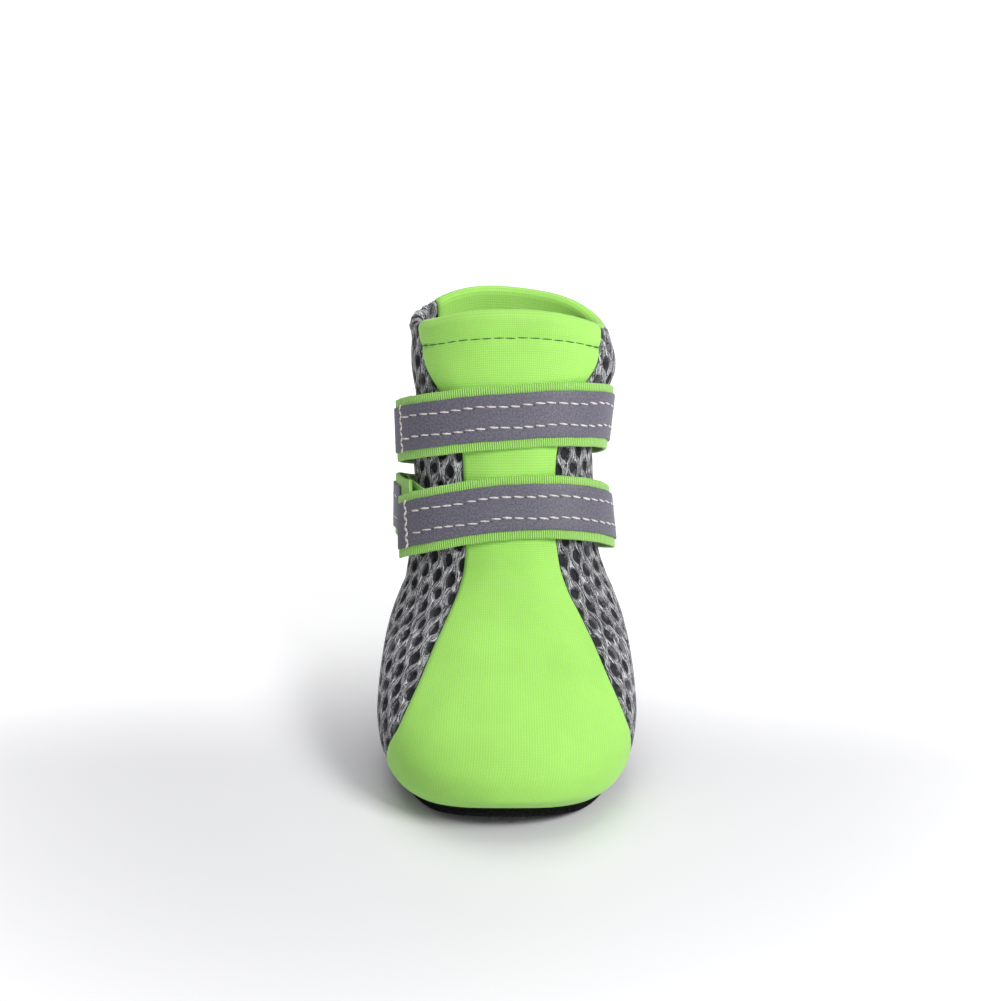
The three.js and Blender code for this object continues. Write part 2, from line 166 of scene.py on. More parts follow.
# The net's yarn is rounded over its crest, narrows its holes behind, and is tucked in at its seams and ends.
YARN_CREST = 0.15
YARN_DROP = 0.45
YARN_ROUNDING = 2.2
HOLE_NARROWING = 0.86
PANEL_SEAM_ANGLE = 0.001
BACK_SEAM_ANGLE = 0.006
SEAM_TUCK = 0.4
SEAM_TUCK_REACH = 0.9
END_TUCK = 0.5
END_TUCK_REACH = 1.0
LINING_EASE = 0.35

# No two holes are alike: their middles wander across and down, and their width and height vary by a share.
JITTER_CELLS = 64
JITTER_START = 24
JITTER = (0.14, 0.18, 0.1, 0.08)

# The front panel: the level it starts at, its pattern, and how far it puffs out and its edges are sewn down.
PANEL_START = 0.15
PANEL_WIDTH = 60.0
PANEL_LENGTH = 170.0
PANEL_RADIUS = 27.0
PANEL_CLOTH = 1.5
PANEL_EDGE = 1.2
PANEL_SEAT = 0.25
PANEL_PUFF = 0.55
PANEL_SEWN_DOWN = 0.4
PANEL_SEWN_DOWN_INSIDE = 0.35
PANEL_GAP_ANGLE = 0.002
PANEL_PULL = math.radians(4.2)

# The panel's hem goes PANEL_HEM down inside the collar. One row of stitches is HEM_STITCH levels below the
# fold on the outside, with the cloth rolled up above it, and a second row is inside.
PANEL_HEM = 14.0
HEM_STITCH = 0.5
HEM_GROOVE = 0.42
HEM_ROLL = 0.25
INNER_STITCH = 1.2
INNER_GROOVE = 0.25
HEM_THREAD_LIFT = 0.64
HEM_RADIUS = 26.0

# The facing lies inside the collar round its back, between two angles, and goes FACING_DEPTH down.
FACING_FROM = math.radians(68)
FACING_TO = math.radians(230)
FACING_START = 0.1
FACING_DEPTH = 5.5
FACING_LENGTH = 75.0
FACING_WIDTH = 8.0
FACING_CLOTH = 1.0
FACING_EDGE = 0.8
FACING_LIFT = 0.55
FACING_SEWN_DOWN = 0.4

# The camera looks at CAMERA_TARGET from straight in front and CAMERA_ELEVATION degrees above.
CAMERA_TARGET = (-1.6, -9.95, 68.8)
CAMERA_ELEVATION = 29.0
CAMERA_DISTANCE = 0.65
CAMERA_LENS = 94.7
CAMERA_SENSOR = 36.0
WORLD_STRENGTH = 0.32
FLOOR_REACH = 3.0

# Each row is one light, in metres and watts: its name, its side, its power, its place and where it points.
LIGHTS = (
    ("key_softbox", 0.3, 4.6, (0.5, -0.36, 0.56), (0, 0, 0.05)),
    ("top_softbox", 0.8, 3.4, (-0.1, 0.35, 0.9), (0, 0.05, 0)),
)

# Each row is one strap: its name, the level its middle crosses in front, its lean and the drop of its
# fastened side in degrees, the turn where its free end lies, and how much of the stations' rise it takes.
STRAPS = (("lower", 10.78, 33.0, 3.0, 427.0, 1.0), ("upper", 12.63, 33.0, 4.0, 433.0, 0.1))
LOWEST_STRAP_LEVEL = 7.0
STRAP_SAG = 0.35
STRAP_WIDTH = 16.0
WEBBING = 1.1
TAPE_CLOTH = 0.5
TAPE_WIDTH = 11.6
TAPE_GAP = 0.09
PILE = 1.0
PILE_WIDTH = 14.6
HALVINGS = 24

# The bands of the straps: their samples, and how they wander to and fro along their length, by how much, how
# fast, and how far one edge leads the other.
BAND_COLUMNS = 10
BAND_STEP = 1.1
LENGTH_SAMPLES = 400
WANDERS = ((0.06, 0.31, 1), (0.04, 0.83, 2))

# Stations of the webbing's run: turns round the shaft in degrees from the front over the dog's right side,
# each strap's stand-off from the shaft there, and the rise off its plane. The pile has stations of its own.
RUN_TURN = np.array([60, 90, 122, 150, 185, 225, 268, 305, 350, 385, 410, 434], float)
RUN_OFF = {
    "lower": np.array([2.6, 3.5, 1.9, 0.6, 0.5, 1.6, 3.2, 1.8, 0.6, 1.6, 3.4, 4.7]),
    "upper": np.array([2.6, 3.2, 1.9, 0.6, 0.5, 1.1, 1.9, 1.2, 0.6, 1.6, 3.3, 4.5]),
}
RUN_RISE = np.array([1.0, 4.0, 3.8, 2.0, 0.0, -1.0, -2.4, -1.0, 0.0, -0.8, -2.0, -3.0])
PILE_TURN = np.array([46, 66, 88, 112], float)
PILE_OFF = np.array([0.5, 0.6, 0.8, 0.5])
PILE_RISE = np.array([-1.5, 1.5, 4.0, 4.0])
TAPE_START_TURN = 4.0
TAPE_END_TURN = 1.2

# One loop of the pile: the pitch of the loops, half its span, its height, its yarn's radius and its facets.
LOOPS_END_TURN = 131.0
LOOP_PITCH = 0.72
LOOP_REACH = 0.42
LOOP_RISE = 0.72
LOOP_YARN = 0.07
LOOP_SIDES = 3
LOOP_STEPS = 5
LOOP_LEAN = 0.35

# The stitches of the tape: where the rows lie from its middle and start and stop from its ends, how they
# slant and wander, and the zigzag across the free end.
STITCH_ROWS = (-2.7, 2.7)
STITCH_START = 1.5
STITCH_STOP = 5.0
STITCH_SLANT = 0.17
STITCH_WANDER = 0.22
STITCH_WANDER_RATE = 0.35
STITCH_HEIGHT = 0.42
ZIGZAG_PLACE = 3.5
ZIGZAG_RUNGS = 9
ZIGZAG_REACH = 0.42
ZIGZAG_SPAN = TAPE_WIDTH + 0.8
# Painted shadow at the needle holes: a dark flat blob's width, how far before its stitch it starts, and its
# height.
NEEDLE_SHADOW_WIDTH = 0.42
NEEDLE_SHADOW_BEFORE = 0.55
NEEDLE_SHADOW_HEIGHT = 0.12


def between_rows(values, place):
    """The value of evenly spaced rows at a place between them, drawn smoothly through them."""
    last = len(values) - 1
    place = np.asarray(place, float)
    row = np.clip(np.floor(place).astype(int), 0, last - 1)
    t = place - row
    a, b, c, d = (values[np.clip(row + step, 0, last)] for step in (-1, 0, 1, 2))
    slope_in = (c - a) / 2
    slope_out = (d - b) / 2
    bend = 2 * b - 2 * c + slope_in + slope_out
    sag = 3 * c - 3 * b - 2 * slope_in - slope_out
    return ((bend * t + sag) * t + slope_in) * t + b


def column(name, level):
    """One column of the sections at a level."""
    return between_rows(SECTIONS[:, COLUMNS.index(name)], level)


def roll(along):
    """How far the underside of the sole is off the floor."""
    toe = TOE_SPRING * (np.clip(TOE_ROLL - along, 0, None) / TOE_ROLL) ** 2
    return toe + HEEL_RATE * np.clip(along - HEEL_ROLL, 0, None) ** 2


def surface(level, angle):
    """Points of the boot's outside. Angle 0 is the front and a quarter turn the dog's left side."""
    level, angle = np.broadcast_arrays(np.asarray(level, float), np.asarray(angle, float))
    corner = column("corner", level)
    c, s = np.cos(angle), np.sin(angle)
    reach = (np.abs(c) ** corner + np.abs(s) ** corner) ** (-1 / corner)
    forward, side = c * reach, s * reach
    along = (column("front_along", level) * (1 + forward) + column("rear_along", level) * (1 - forward)) / 2
    up = (column("front_up", level) * (1 + forward) + column("rear_up", level) * (1 - forward)) / 2
    up = up + column("crown", level) * forward**2 + column("follow", level) * roll(along)
    rear_corner = smooth(0.1, 1.0, np.cos(angle - COLLAR_LIFT_ANGLE))
    up = up + COLLAR_LIFT * smooth(COLLAR_LIFT_FROM, COLLAR_LIFT_TO, level) * rear_corner
    x = column("sway", level) + column("half", level) * side * (1 + column("egg", level) * forward)
    return np.stack([x, along - ORIGIN_BACK, up], -1)


def unit(vectors):
    """The same directions at length 1."""
    return vectors / np.linalg.norm(vectors, axis=-1, keepdims=True)


def climb(level, angle):
    """The direction up the boot's outside."""
    low = np.clip(level - SLOPE_STEP, 0, TOP)
    high = np.clip(level + SLOPE_STEP, 0, TOP)
    return unit(surface(high, angle) - surface(low, angle))


def outward(level, angle):
    """The direction straight off the boot's outside."""
    turn = surface(level, angle + SLOPE_STEP) - surface(level, angle - SLOPE_STEP)
    return unit(np.cross(turn, climb(level, angle)))


def smooth(low, high, value):
    """0 below low, 1 above high and smooth between."""
    t = np.clip((value - low) / (high - low), 0, 1)
    return t * t * (3 - 2 * t)


def bell(distance, width):
    """1 in the middle, falling off smoothly over a width."""
    return np.exp(-((distance / width) ** 2))


def creases(level, angle):
    """Soft troughs and ridges of the worn cloth, in millimetres of offset."""
    front = np.cos(angle)
    side = np.abs(np.sin(angle))
    ankle = -ANKLE_CREASE * bell(level - ANKLE_LEVEL, ANKLE_REACH) * smooth(0.3, 1.0, front)
    wave = np.sin((level - HEEL_WAVE_START) * HEEL_WAVE) * bell(level - HEEL_LEVEL, HEEL_REACH)
    heel = HEEL_CREASE * wave * smooth(0.1, 0.9, -front)
    wave = np.sin(level * PULL_WAVE + angle * PULL_TWIST) * smooth(7.0, 10.5, level)
    pull = PULL_CREASE * wave * side
    return (ankle + heel + pull) * (1 - smooth(13.8, 14.6, level))


def drape(level, angle, offset):
    """Points of a cloth off the boot's outside by an offset, or past the collar's fold off its inside."""
    outer_level = np.minimum(level, FOLD_START)
    inner_level = np.clip(FOLD_START - (level - FOLD_END), 0, FOLD_START)
    offset = np.asarray(offset, float) + np.where(level < FOLD_START, creases(outer_level, angle), 0)
    turn = np.clip((level - FOLD_START) * FOLD_RATE / FOLD_RADIUS, 0, math.pi)[..., None]
    edge = np.full_like(outer_level, FOLD_START)
    out = outward(edge, angle)
    spoke = np.cos(turn) * out + np.sin(turn) * climb(edge, angle)
    over = surface(edge, angle) - out * FOLD_RADIUS + (FOLD_RADIUS + offset)[..., None] * spoke
    outside = surface(outer_level, angle) + outward(outer_level, angle) * offset[..., None]
    inside = surface(inner_level, angle) - outward(inner_level, angle) * (WALL + offset)[..., None]
    past = level[..., None]
    return np.where(past <= FOLD_START, outside, np.where(past < FOLD_END, over, inside))


def panel_half(level):
    """Half the angle the front panel takes up, which stays as it is past the fold."""
    return np.radians(column("panel", np.minimum(level, TOP)))


def panel_turn(level):
    """How far the worn panel has pulled round to the dog's left, as an angle."""
    return PANEL_PULL * smooth(1.0, 4.0, level) * (1 - smooth(12.4, 14.0, level))


def flat_grid(columns, rows):
    """A flat sheet of unit size with its corner at the origin, and the column and row of each vertex."""
    bm = bmesh.new()
    bmesh.ops.create_grid(bm, x_segments=columns, y_segments=rows, size=0.5)
    flat = np.array([vert.co[:] for vert in bm.verts]) + 0.5
    return bm, np.rint(flat[:, 0] * columns).astype(int), np.rint(flat[:, 1] * rows).astype(int)


def write_layer(bm, name, values):
    """Writes a value at each vertex as an attribute that a material can read."""
    layer = bm.verts.layers.float_vector.new(name)
    for vert, value in zip(bm.verts, values):
        vert[layer] = value


def place_vertices(bm, points):
    """Puts each vertex at its point, given in millimetres."""
    for vert, point in zip(bm.verts, points * MM):
        vert.co = point


def cloth_sheet(across, run, width, length, thickness, edge, place, measure):
    """A closed sheet with rounded edges: a grid folded round its own edge, so both faces share its samples.

    Across and run are shares of the width and length. Place turns shares and an offset into points, and
    measure turns shares into the cloth's own millimetres for its pattern.
    """
    columns = 2 * (len(across) - 1)
    bm, column_of, row_of = flat_grid(columns, len(run) - 1)
    folded = np.minimum(column_of, columns - column_of)
    s, t = across[folded], run[row_of]
    breadth = width(t) if callable(width) else width
    inset = np.minimum(np.minimum(s, 1 - s) * breadth, np.minimum(t, 1 - t) * length)
    half = thickness / 2 * np.sqrt(1 - (1 - np.clip(inset / edge, 0, 1)) ** 2)
    offset = np.where(column_of < len(across), half, -half)
    write_layer(bm, "cloth", measure(s, t))
    place_vertices(bm, place(s, t, offset))
    bmesh.ops.remove_doubles(bm, verts=bm.verts, dist=MERGE)
    bmesh.ops.recalc_face_normals(bm, faces=bm.faces)
    return bm


def edge_samples(count, width, edge):
    """Shares of a width, evenly spaced with closer ones where the edges round off."""
    near = np.array([0, 0.08, 0.3, 0.6, 1.0]) * edge / width
    middle = np.linspace(near[-1], 1 - near[-1], count)
    return np.concatenate([near[:-1], middle, 1 - near[-2::-1]])


def finish_piece(bm, name, material, slot, *nodes):
    """Makes the mesh an object on the boot's body, in place of the named frame nodes."""
    for face in bm.faces:
        face.smooth = True
    mesh = bpy.data.meshes.new(name)
    bm.to_mesh(mesh)
    bm.free()
    mesh.materials.append(material)
    piece = bpy.data.objects.new(name, mesh)
    bpy.context.scene.collection.objects.link(piece)
    if nodes:
        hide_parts(*nodes)
    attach(piece, "root")


def neighbours(place, count):
    """The four rows round a place among evenly spaced rows, each with its share in the smooth curve there."""
    row = np.clip(np.floor(place).astype(int), 0, count - 2)
    t = place - row
    shares = (
        ((2 - t) * t - 1) * t / 2,
        ((3 * t - 5) * t * t + 2) / 2,
        ((4 - 3 * t) * t + 1) * t / 2,
        (t - 1) * t * t / 2,
    )
    return [(np.clip(row + step, 0, count - 1), share) for step, share in zip((-1, 0, 1, 2), shares)]


class Pattern:
    """The flat pattern of a mesh side: millimetres round from the centre back and down from the collar.

    It starts from lengths measured over the boot and is then relaxed like a net of springs, so the cloth
    lies on the foot with as little stretch as on the shaft.
    """

    STEP = 6.0
    ROUND = np.arange(-6, 91, STEP)
    DOWN = np.arange(-24, 139, STEP)
    MEASURED_ANGLE = 2.0
    PASSES = 700
    HASTE = 1.6
    SMALL = 0.01

    def __init__(self):
        across, down = np.meshgrid(self.ROUND, self.DOWN, indexing="ij")
        levels = np.linspace(TOP, 0, 121)
        steps = np.linalg.norm(np.diff(surface(levels, self.MEASURED_ANGLE), axis=0), axis=-1)
        drop = np.concatenate([[0], np.cumsum(steps)])
        angles = np.linspace(0, math.pi, 91)
        rings = np.linalg.norm(np.diff(surface(levels[:, None], angles), axis=1), axis=-1).sum(1)
        past = np.clip(down, None, 0) + np.clip(down - drop[-1], 0, None)
        self.level = np.interp(down, drop, levels) - past / FOLD_RATE
        self.angle = math.pi * (1 - across / np.interp(down, drop, rings))
        free_level = ~((across == 0) & (down == 0))
        free_angle = across != 0
        for _ in range(self.PASSES):
            self.relax(free_level, free_angle)

    def beyond(self, level, angle):
        """The surface, carried on straight past its two ends."""
        inside = np.clip(level, 0, TOP)
        return surface(inside, angle) + climb(inside, angle) * ((level - inside) * FOLD_RATE)[..., None]

    def relax(self, free_level, free_angle):
        """One pass: each knot moves to ease the springs to its neighbours, as far as it is free."""
        here = self.beyond(self.level, self.angle)
        push = np.zeros_like(here)
        count = np.zeros(here.shape[:2])
        for i, j in ((1, 0), (0, 1), (1, 1), (1, -1)):
            rest = self.STEP * math.hypot(i, j)
            first = (slice(0, -i or None), slice(max(-j, 0), -j if j > 0 else None))
            second = (slice(i, None), slice(max(j, 0), j if j < 0 else None))
            gap = here[second] - here[first]
            size = np.linalg.norm(gap, axis=-1, keepdims=True)
            pull = gap * (size - rest) / size / 2
            push[first] += pull
            push[second] -= pull
            count[first] += 1
            count[second] += 1
        push *= (self.HASTE / count)[..., None]
        by_level = (self.beyond(self.level + self.SMALL, self.angle) - here) / self.SMALL
        by_angle = (self.beyond(self.level, self.angle + self.SMALL) - here) / self.SMALL
        level_square = (by_level**2).sum(-1)
        angle_square = (by_angle**2).sum(-1)
        slant = (by_level * by_angle).sum(-1)
        up = (push * by_level).sum(-1)
        aside = (push * by_angle).sum(-1)
        size = level_square * angle_square - slant * slant
        self.level = self.level + free_level * (up * angle_square - aside * slant) / size
        self.angle = self.angle + free_angle * (aside * level_square - up * slant) / size

    def place(self, across, down):
        """The level and angle of points of the pattern."""
        columns = neighbours((across - self.ROUND[0]) / self.STEP, len(self.ROUND))
        rows = neighbours((down - self.DOWN[0]) / self.STEP, len(self.DOWN))
        level, angle = 0, 0
        for column_at, column_share in columns:
            for row_at, row_share in rows:
                share = column_share * row_share
                level = level + share * self.level[column_at, row_at]
                angle = angle + share * self.angle[column_at, row_at]
        return level, angle


def make_backing():
    """The closed dark wall behind the mesh: up the outside, over the collar and down the inside."""
    bm, column_of, row_of = flat_grid(BACKING_COLUMNS, BACKING_ROWS)
    angle = column_of / BACKING_COLUMNS * 2 * math.pi
    level = row_of / BACKING_ROWS * (FOLD_END + FOLD_START)
    hem = FOLD_END + MESH_HEM / FOLD_RATE
    offset = BACKING_DEPTH * (1 - smooth(hem, hem + 0.1, level))
    write_layer(bm, "cloth", np.stack([angle * MEAN_RADIUS, level * FOLD_RATE, level * 0], -1))
    place_vertices(bm, drape(level, angle, offset))
    bmesh.ops.remove_doubles(bm, verts=bm.verts, dist=MERGE)
    rims = [edge for edge in bm.edges if edge.is_boundary]
    bmesh.ops.bridge_loops(bm, edges=rims)
    bmesh.ops.recalc_face_normals(bm, faces=bm.faces)
    finish_piece(bm, "upper_backing", backing_material(), "mesh", "upper")


def net_lattice(pitch, row):
    """A flat slanted lattice with a hole in each cell, the holes' rims carried down as walls."""
    bm = bmesh.new()
    bmesh.ops.create_grid(bm, x_segments=NET_CELLS, y_segments=NET_CELLS, size=NET_CELLS / 2)
    start = [NET_CELLS / 2 + first for first in NET_START]
    bmesh.ops.translate(bm, verts=bm.verts, vec=(*start, 0))
    far = []
    for face in bm.faces:
        middle = face.calc_center_median()
        across, down = (middle.x - middle.y) * pitch / 2, (middle.x + middle.y) * row
        if not (-pitch < across < NET_ROUND and NET_DOWN[0] < down < NET_DOWN[1]):
            far.append(face)
    bmesh.ops.delete(bm, geom=far, context="FACES")
    bmesh.ops.inset_individual(bm, faces=bm.faces[:], thickness=NET_INSET, use_even_offset=True)
    holes = [face for face in bm.faces if lattice_size(face.calc_center_median()) < CELL_MIDDLE]
    bmesh.ops.delete(bm, geom=holes, context="FACES")
    bmesh.ops.subdivide_edges(bm, edges=bm.edges[:], cuts=NET_CUTS, use_grid_fill=True)
    rims = [e for e in bm.edges if e.is_boundary and max(lattice_size(v.co) for v in e.verts) < CELL_RIM]
    extruded = bmesh.ops.extrude_edge_only(bm, edges=rims)["geom"]
    walls = [v for v in extruded if isinstance(v, bmesh.types.BMVert)]
    bmesh.ops.translate(bm, verts=walls, vec=(0, 0, -1))
    return bm


def make_net(pattern, side):
    """One mesh side: an open layer of yarn with staggered oval holes, sewn in along its edges."""
    sizes = bpy.context.scene.boot_sizes
    bm = net_lattice(sizes.hole_pitch / MM, sizes.hole_row / MM)
    flat = np.array([v.co[:] for v in bm.verts])
    across, down, share, flow = hole_shapes(flat, sizes)
    level, angle = pattern.place(across, down)
    low = panel_half(level) + side * panel_turn(level) + PANEL_SEAM_ANGLE
    high = math.pi - BACK_SEAM_ANGLE
    hem = FOLD_END + MESH_HEM / FOLD_RATE
    beyond = (angle < low) | (angle > high) | (level < NET_LOWEST) | (level > hem)
    outside = [f for f in bm.faces if all(beyond[v.index] for v in f.verts)]
    angle = np.clip(angle, low, high)
    level = np.clip(level, NET_LOWEST, hem)
    radius = np.abs(surface(np.minimum(level, TOP), angle)[:, 0]).clip(*RADIUS_LIMITS)
    to_seam = np.minimum((angle - low) * radius, (high - angle) * radius)
    to_end = np.minimum((level - NET_LOWEST) * LEVEL_LENGTH, (hem - level) * FOLD_RATE)
    tuck = SEAM_TUCK * (1 - smooth(0, SEAM_TUCK_REACH, to_seam))
    tuck = tuck + END_TUCK * (1 - smooth(0, END_TUCK_REACH, to_end))
    rise, at_level, at_angle, level_reach, angle_reach = SWELLINGS[side]
    swelling = rise * bell(level - at_level, level_reach) * bell(angle - at_angle, angle_reach)
    crest = YARN_CREST - YARN_DROP * share**YARN_ROUNDING - tuck + swelling
    offset = np.maximum(np.where(is_back(flat), NET_BACK, crest), NET_BACK)
    offset = offset + LINING_EASE * smooth(FOLD_END, FOLD_END + 0.3, level)
    write_layer(bm, "cloth", np.stack([across, down, offset], -1))
    write_layer(bm, "strand", np.stack([flow, down, share], -1))
    place_vertices(bm, drape(level, side * angle, offset))
    bmesh.ops.delete(bm, geom=outside, context="FACES")
    bmesh.ops.dissolve_degenerate(bm, edges=bm.edges[:], dist=MERGE)
    if side < 0:
        bmesh.ops.reverse_faces(bm, faces=bm.faces)
    name = "mesh_left" if side > 0 else "mesh_right"
    finish_piece(bm, name, net_material(), "mesh", "upper")


def lattice_size(point):
    """How far a point is from the middle of its cell, 0.5 at the cell's edge."""
    return max(abs(place - math.floor(place) - 0.5) for place in point[:2])


def is_back(flat):
    """Which vertices of the lattice are at the back of the yarn."""
    return flat[:, 2] < -0.5


def hole_shapes(flat, sizes):
    """Pattern millimetres of each vertex, with the rims drawn into ovals, its share of the way to a rim, and
    the yarn it lies on: yarns run down the cloth and part round each hole.
    """
    pitch, row = sizes.hole_pitch / MM, sizes.hole_row / MM
    cell = np.floor(flat[:, :2]) + 0.5
    local = flat[:, :2] - cell
    size = np.abs(local).max(1)
    share = np.clip((0.5 - size) / NET_INSET, 0, 1)
    edge = cell + local * (0.5 / np.maximum(size, 1e-6))[:, None]
    turn = np.arctan2(local[:, 0] + local[:, 1], local[:, 0] - local[:, 1])
    table = np.random.default_rng(11).uniform(-1, 1, (JITTER_CELLS, JITTER_CELLS, 4))
    key = (cell.astype(int) + JITTER_START) % JITTER_CELLS
    aside, lower, wider, taller = (table[key[:, 0], key[:, 1]] * JITTER).T
    squeeze = np.where(is_back(flat), HOLE_NARROWING, 1.0)
    across, down = (edge[:, 0] - edge[:, 1]) * pitch / 2, (edge[:, 0] + edge[:, 1]) * row
    middle = (cell[:, 0] - cell[:, 1]) * pitch / 2 + aside
    rim_across = middle + sizes.hole_half_width / MM * (1 + wider) * squeeze * np.cos(turn)
    rim_down = (cell[:, 0] + cell[:, 1]) * row + lower
    rim_down = rim_down + sizes.hole_half_height / MM * (1 + taller) * squeeze * np.sin(turn)
    flow = across + (middle - across) * share
    return across + (rim_across - across) * share, down + (rim_down - down) * share, share, flow


def make_front_panel():
    """The stretch panel, its edges sewn down, its top turned over the collar and hemmed inside."""
    top = FOLD_END + PANEL_HEM / FOLD_RATE

    def level_at(t):
        return PANEL_START + t * (top - PANEL_START)

    def spread(t):
        return 2 * panel_half(level_at(t)) * PANEL_RADIUS

    def place(s, t, offset):
        level = level_at(t)
        angle = (2 * s - 1) * (panel_half(level) - PANEL_GAP_ANGLE) + panel_turn(level)
        inset = np.minimum(s, 1 - s) * spread(t)
        puff = PANEL_PUFF * smooth(0.0, 9.0, inset) * smooth(0.3, 1.8, level)
        puff = puff - PANEL_SEWN_DOWN * (1 - smooth(0, 1.4, inset))
        lining = -PANEL_SEWN_DOWN_INSIDE * (1 - smooth(0, 2.2, inset))
        puff = np.where(level > FOLD_START, lining, puff)
        groove = HEM_GROOVE * bell(level - (FOLD_START - HEM_STITCH), 0.075)
        groove = groove + INNER_GROOVE * bell(level - (FOLD_END + INNER_STITCH), 0.1)
        roll_up = HEM_ROLL * smooth(FOLD_START - 0.55, FOLD_START - 0.2, level)
        return drape(level, angle, offset - PANEL_SEAT + puff - groove + roll_up)

    def measure(s, t):
        return np.stack([(s - 0.5) * spread(t), level_at(t) * FOLD_RATE, s * 0], -1)

    samples = edge_samples(56, PANEL_WIDTH, PANEL_EDGE), edge_samples(250, PANEL_LENGTH, PANEL_EDGE)
    bm = cloth_sheet(*samples, spread, PANEL_LENGTH, PANEL_CLOTH, PANEL_EDGE, place, measure)
    finish_piece(bm, "front_panel_cloth", panel_material(), "panel", "front_panel")


def make_collar_facing():
    """The green facing turned inside the collar round the back."""
    low, high = FOLD_START + FACING_START, FOLD_END + FACING_DEPTH / FOLD_RATE

    def place(s, t, offset):
        level = low + t * (high - low)
        angle = FACING_FROM + s * (FACING_TO - FACING_FROM)
        inset = np.minimum(np.minimum(s, 1 - s) * FACING_LENGTH, np.minimum(t, 1 - t) * FACING_WIDTH)
        sewn_down = FACING_SEWN_DOWN * (1 - smooth(0, 1.6, inset))
        return drape(level, angle, offset + FACING_LIFT - sewn_down)

    def measure(s, t):
        return np.stack([s * FACING_LENGTH, t * FACING_WIDTH, s * 0], -1)

    samples = edge_samples(70, FACING_LENGTH, FACING_EDGE), edge_samples(18, FACING_WIDTH, FACING_EDGE)
    bm = cloth_sheet(*samples, FACING_LENGTH, FACING_WIDTH, FACING_CLOTH, FACING_EDGE, place, measure)
    finish_piece(bm, "collar_facing", panel_material(), "panel", "upper")


def sole_point(angle, share, grow, up):
    """Points of the sole: out from its outline by grow, or in towards its middle by a share."""
    edge = surface(0.0, angle)[..., :2]
    centre = np.array([0, (SECTIONS[0, 0] + SECTIONS[0, 2]) / 2 - ORIGIN_BACK])
    spoke = edge - centre
    size = np.linalg.norm(spoke, axis=-1, keepdims=True)
    flat = centre + spoke * (size + grow) / size * share
    return np.concatenate([flat, (up + roll(flat[..., 1] + ORIGIN_BACK))[..., None]], -1)


def make_sole():
    """The sole cloth: a plate that follows the roll of toe and heel, its edge turned up onto the upper."""
    shares = np.linspace(0, 1, SOLE_RINGS)
    angle = np.arange(SOLE_COLUMNS + 1) / SOLE_COLUMNS * 2 * math.pi
    rings = [sole_point(angle, share, *SOLE_UNDERSIDE) for share in shares]
    rings += [sole_point(angle, 1.0, *row) for row in SOLE_EDGE]
    beside_toe = smooth(0.3, 0.85, np.abs(np.sin(angle))) * smooth(-0.3, 0.3, np.cos(angle))
    for level, offset in SOLE_LIP:
        height = level * (LIP_HEIGHT + LIP_RISE * beside_toe)
        rings.append(surface(height, angle) + outward(height, angle) * offset)
    rings += [sole_point(angle, share, *SOLE_TOPSIDE) for share in shares[::-1]]
    bm, column_of, row_of = flat_grid(SOLE_COLUMNS, len(rings) - 1)
    place_vertices(bm, np.array(rings)[row_of, column_of])
    bmesh.ops.remove_doubles(bm, verts=bm.verts, dist=MERGE)
    bmesh.ops.recalc_face_normals(bm, faces=bm.faces)
    finish_piece(bm, "sole_cloth", sole_material(), "sole", "outsole")


def dot_places():
    """The middle of each dot, in staggered rows over the sole with a free margin round them."""
    places = []
    row_pitch = DOT_PITCH * math.sqrt(3) / 2
    middle = (SECTIONS[0, 0] + SECTIONS[0, 2]) / 2
    half_length = (SECTIONS[0, 2] - SECTIONS[0, 0]) / 2
    rows = int(half_length / row_pitch)
    for row in range(-rows, rows + 1):
        along = middle + row * row_pitch
        forward = (middle - along) / half_length
        half = SECTIONS[0, 4] * (1 + SECTIONS[0, 6] * forward)
        room = 1 - (NO_DOT_MARGIN + DOT_RADIUS) / SECTIONS[0, 4]
        for k in range(-5, 6):
            x = k * DOT_PITCH + (0 if row % 2 == 0 else DOT_PITCH / 2)
            if math.hypot(x / half, forward) < room:
                places.append((x, along))
    return places


def make_dots():
    """The grip dots: low rubber domes in staggered rows under the sole."""
    bm = bmesh.new()
    height = DOT_HEIGHT + DOT_ROOT
    for x, along in dot_places():
        base = Vector((x, along - ORIGIN_BACK, height + float(roll(along)))) * MM
        shape = Matrix.Diagonal((DOT_RADIUS * MM, DOT_RADIUS * MM, height * MM, 1))
        matrix = Matrix.Translation(base) @ shape
        bmesh.ops.create_uvsphere(bm, u_segments=16, v_segments=8, radius=1, matrix=matrix)
    bmesh.ops.recalc_face_normals(bm, faces=bm.faces)
    finish_piece(bm, "sole_dots", dot_material(), "sole", "outsole")


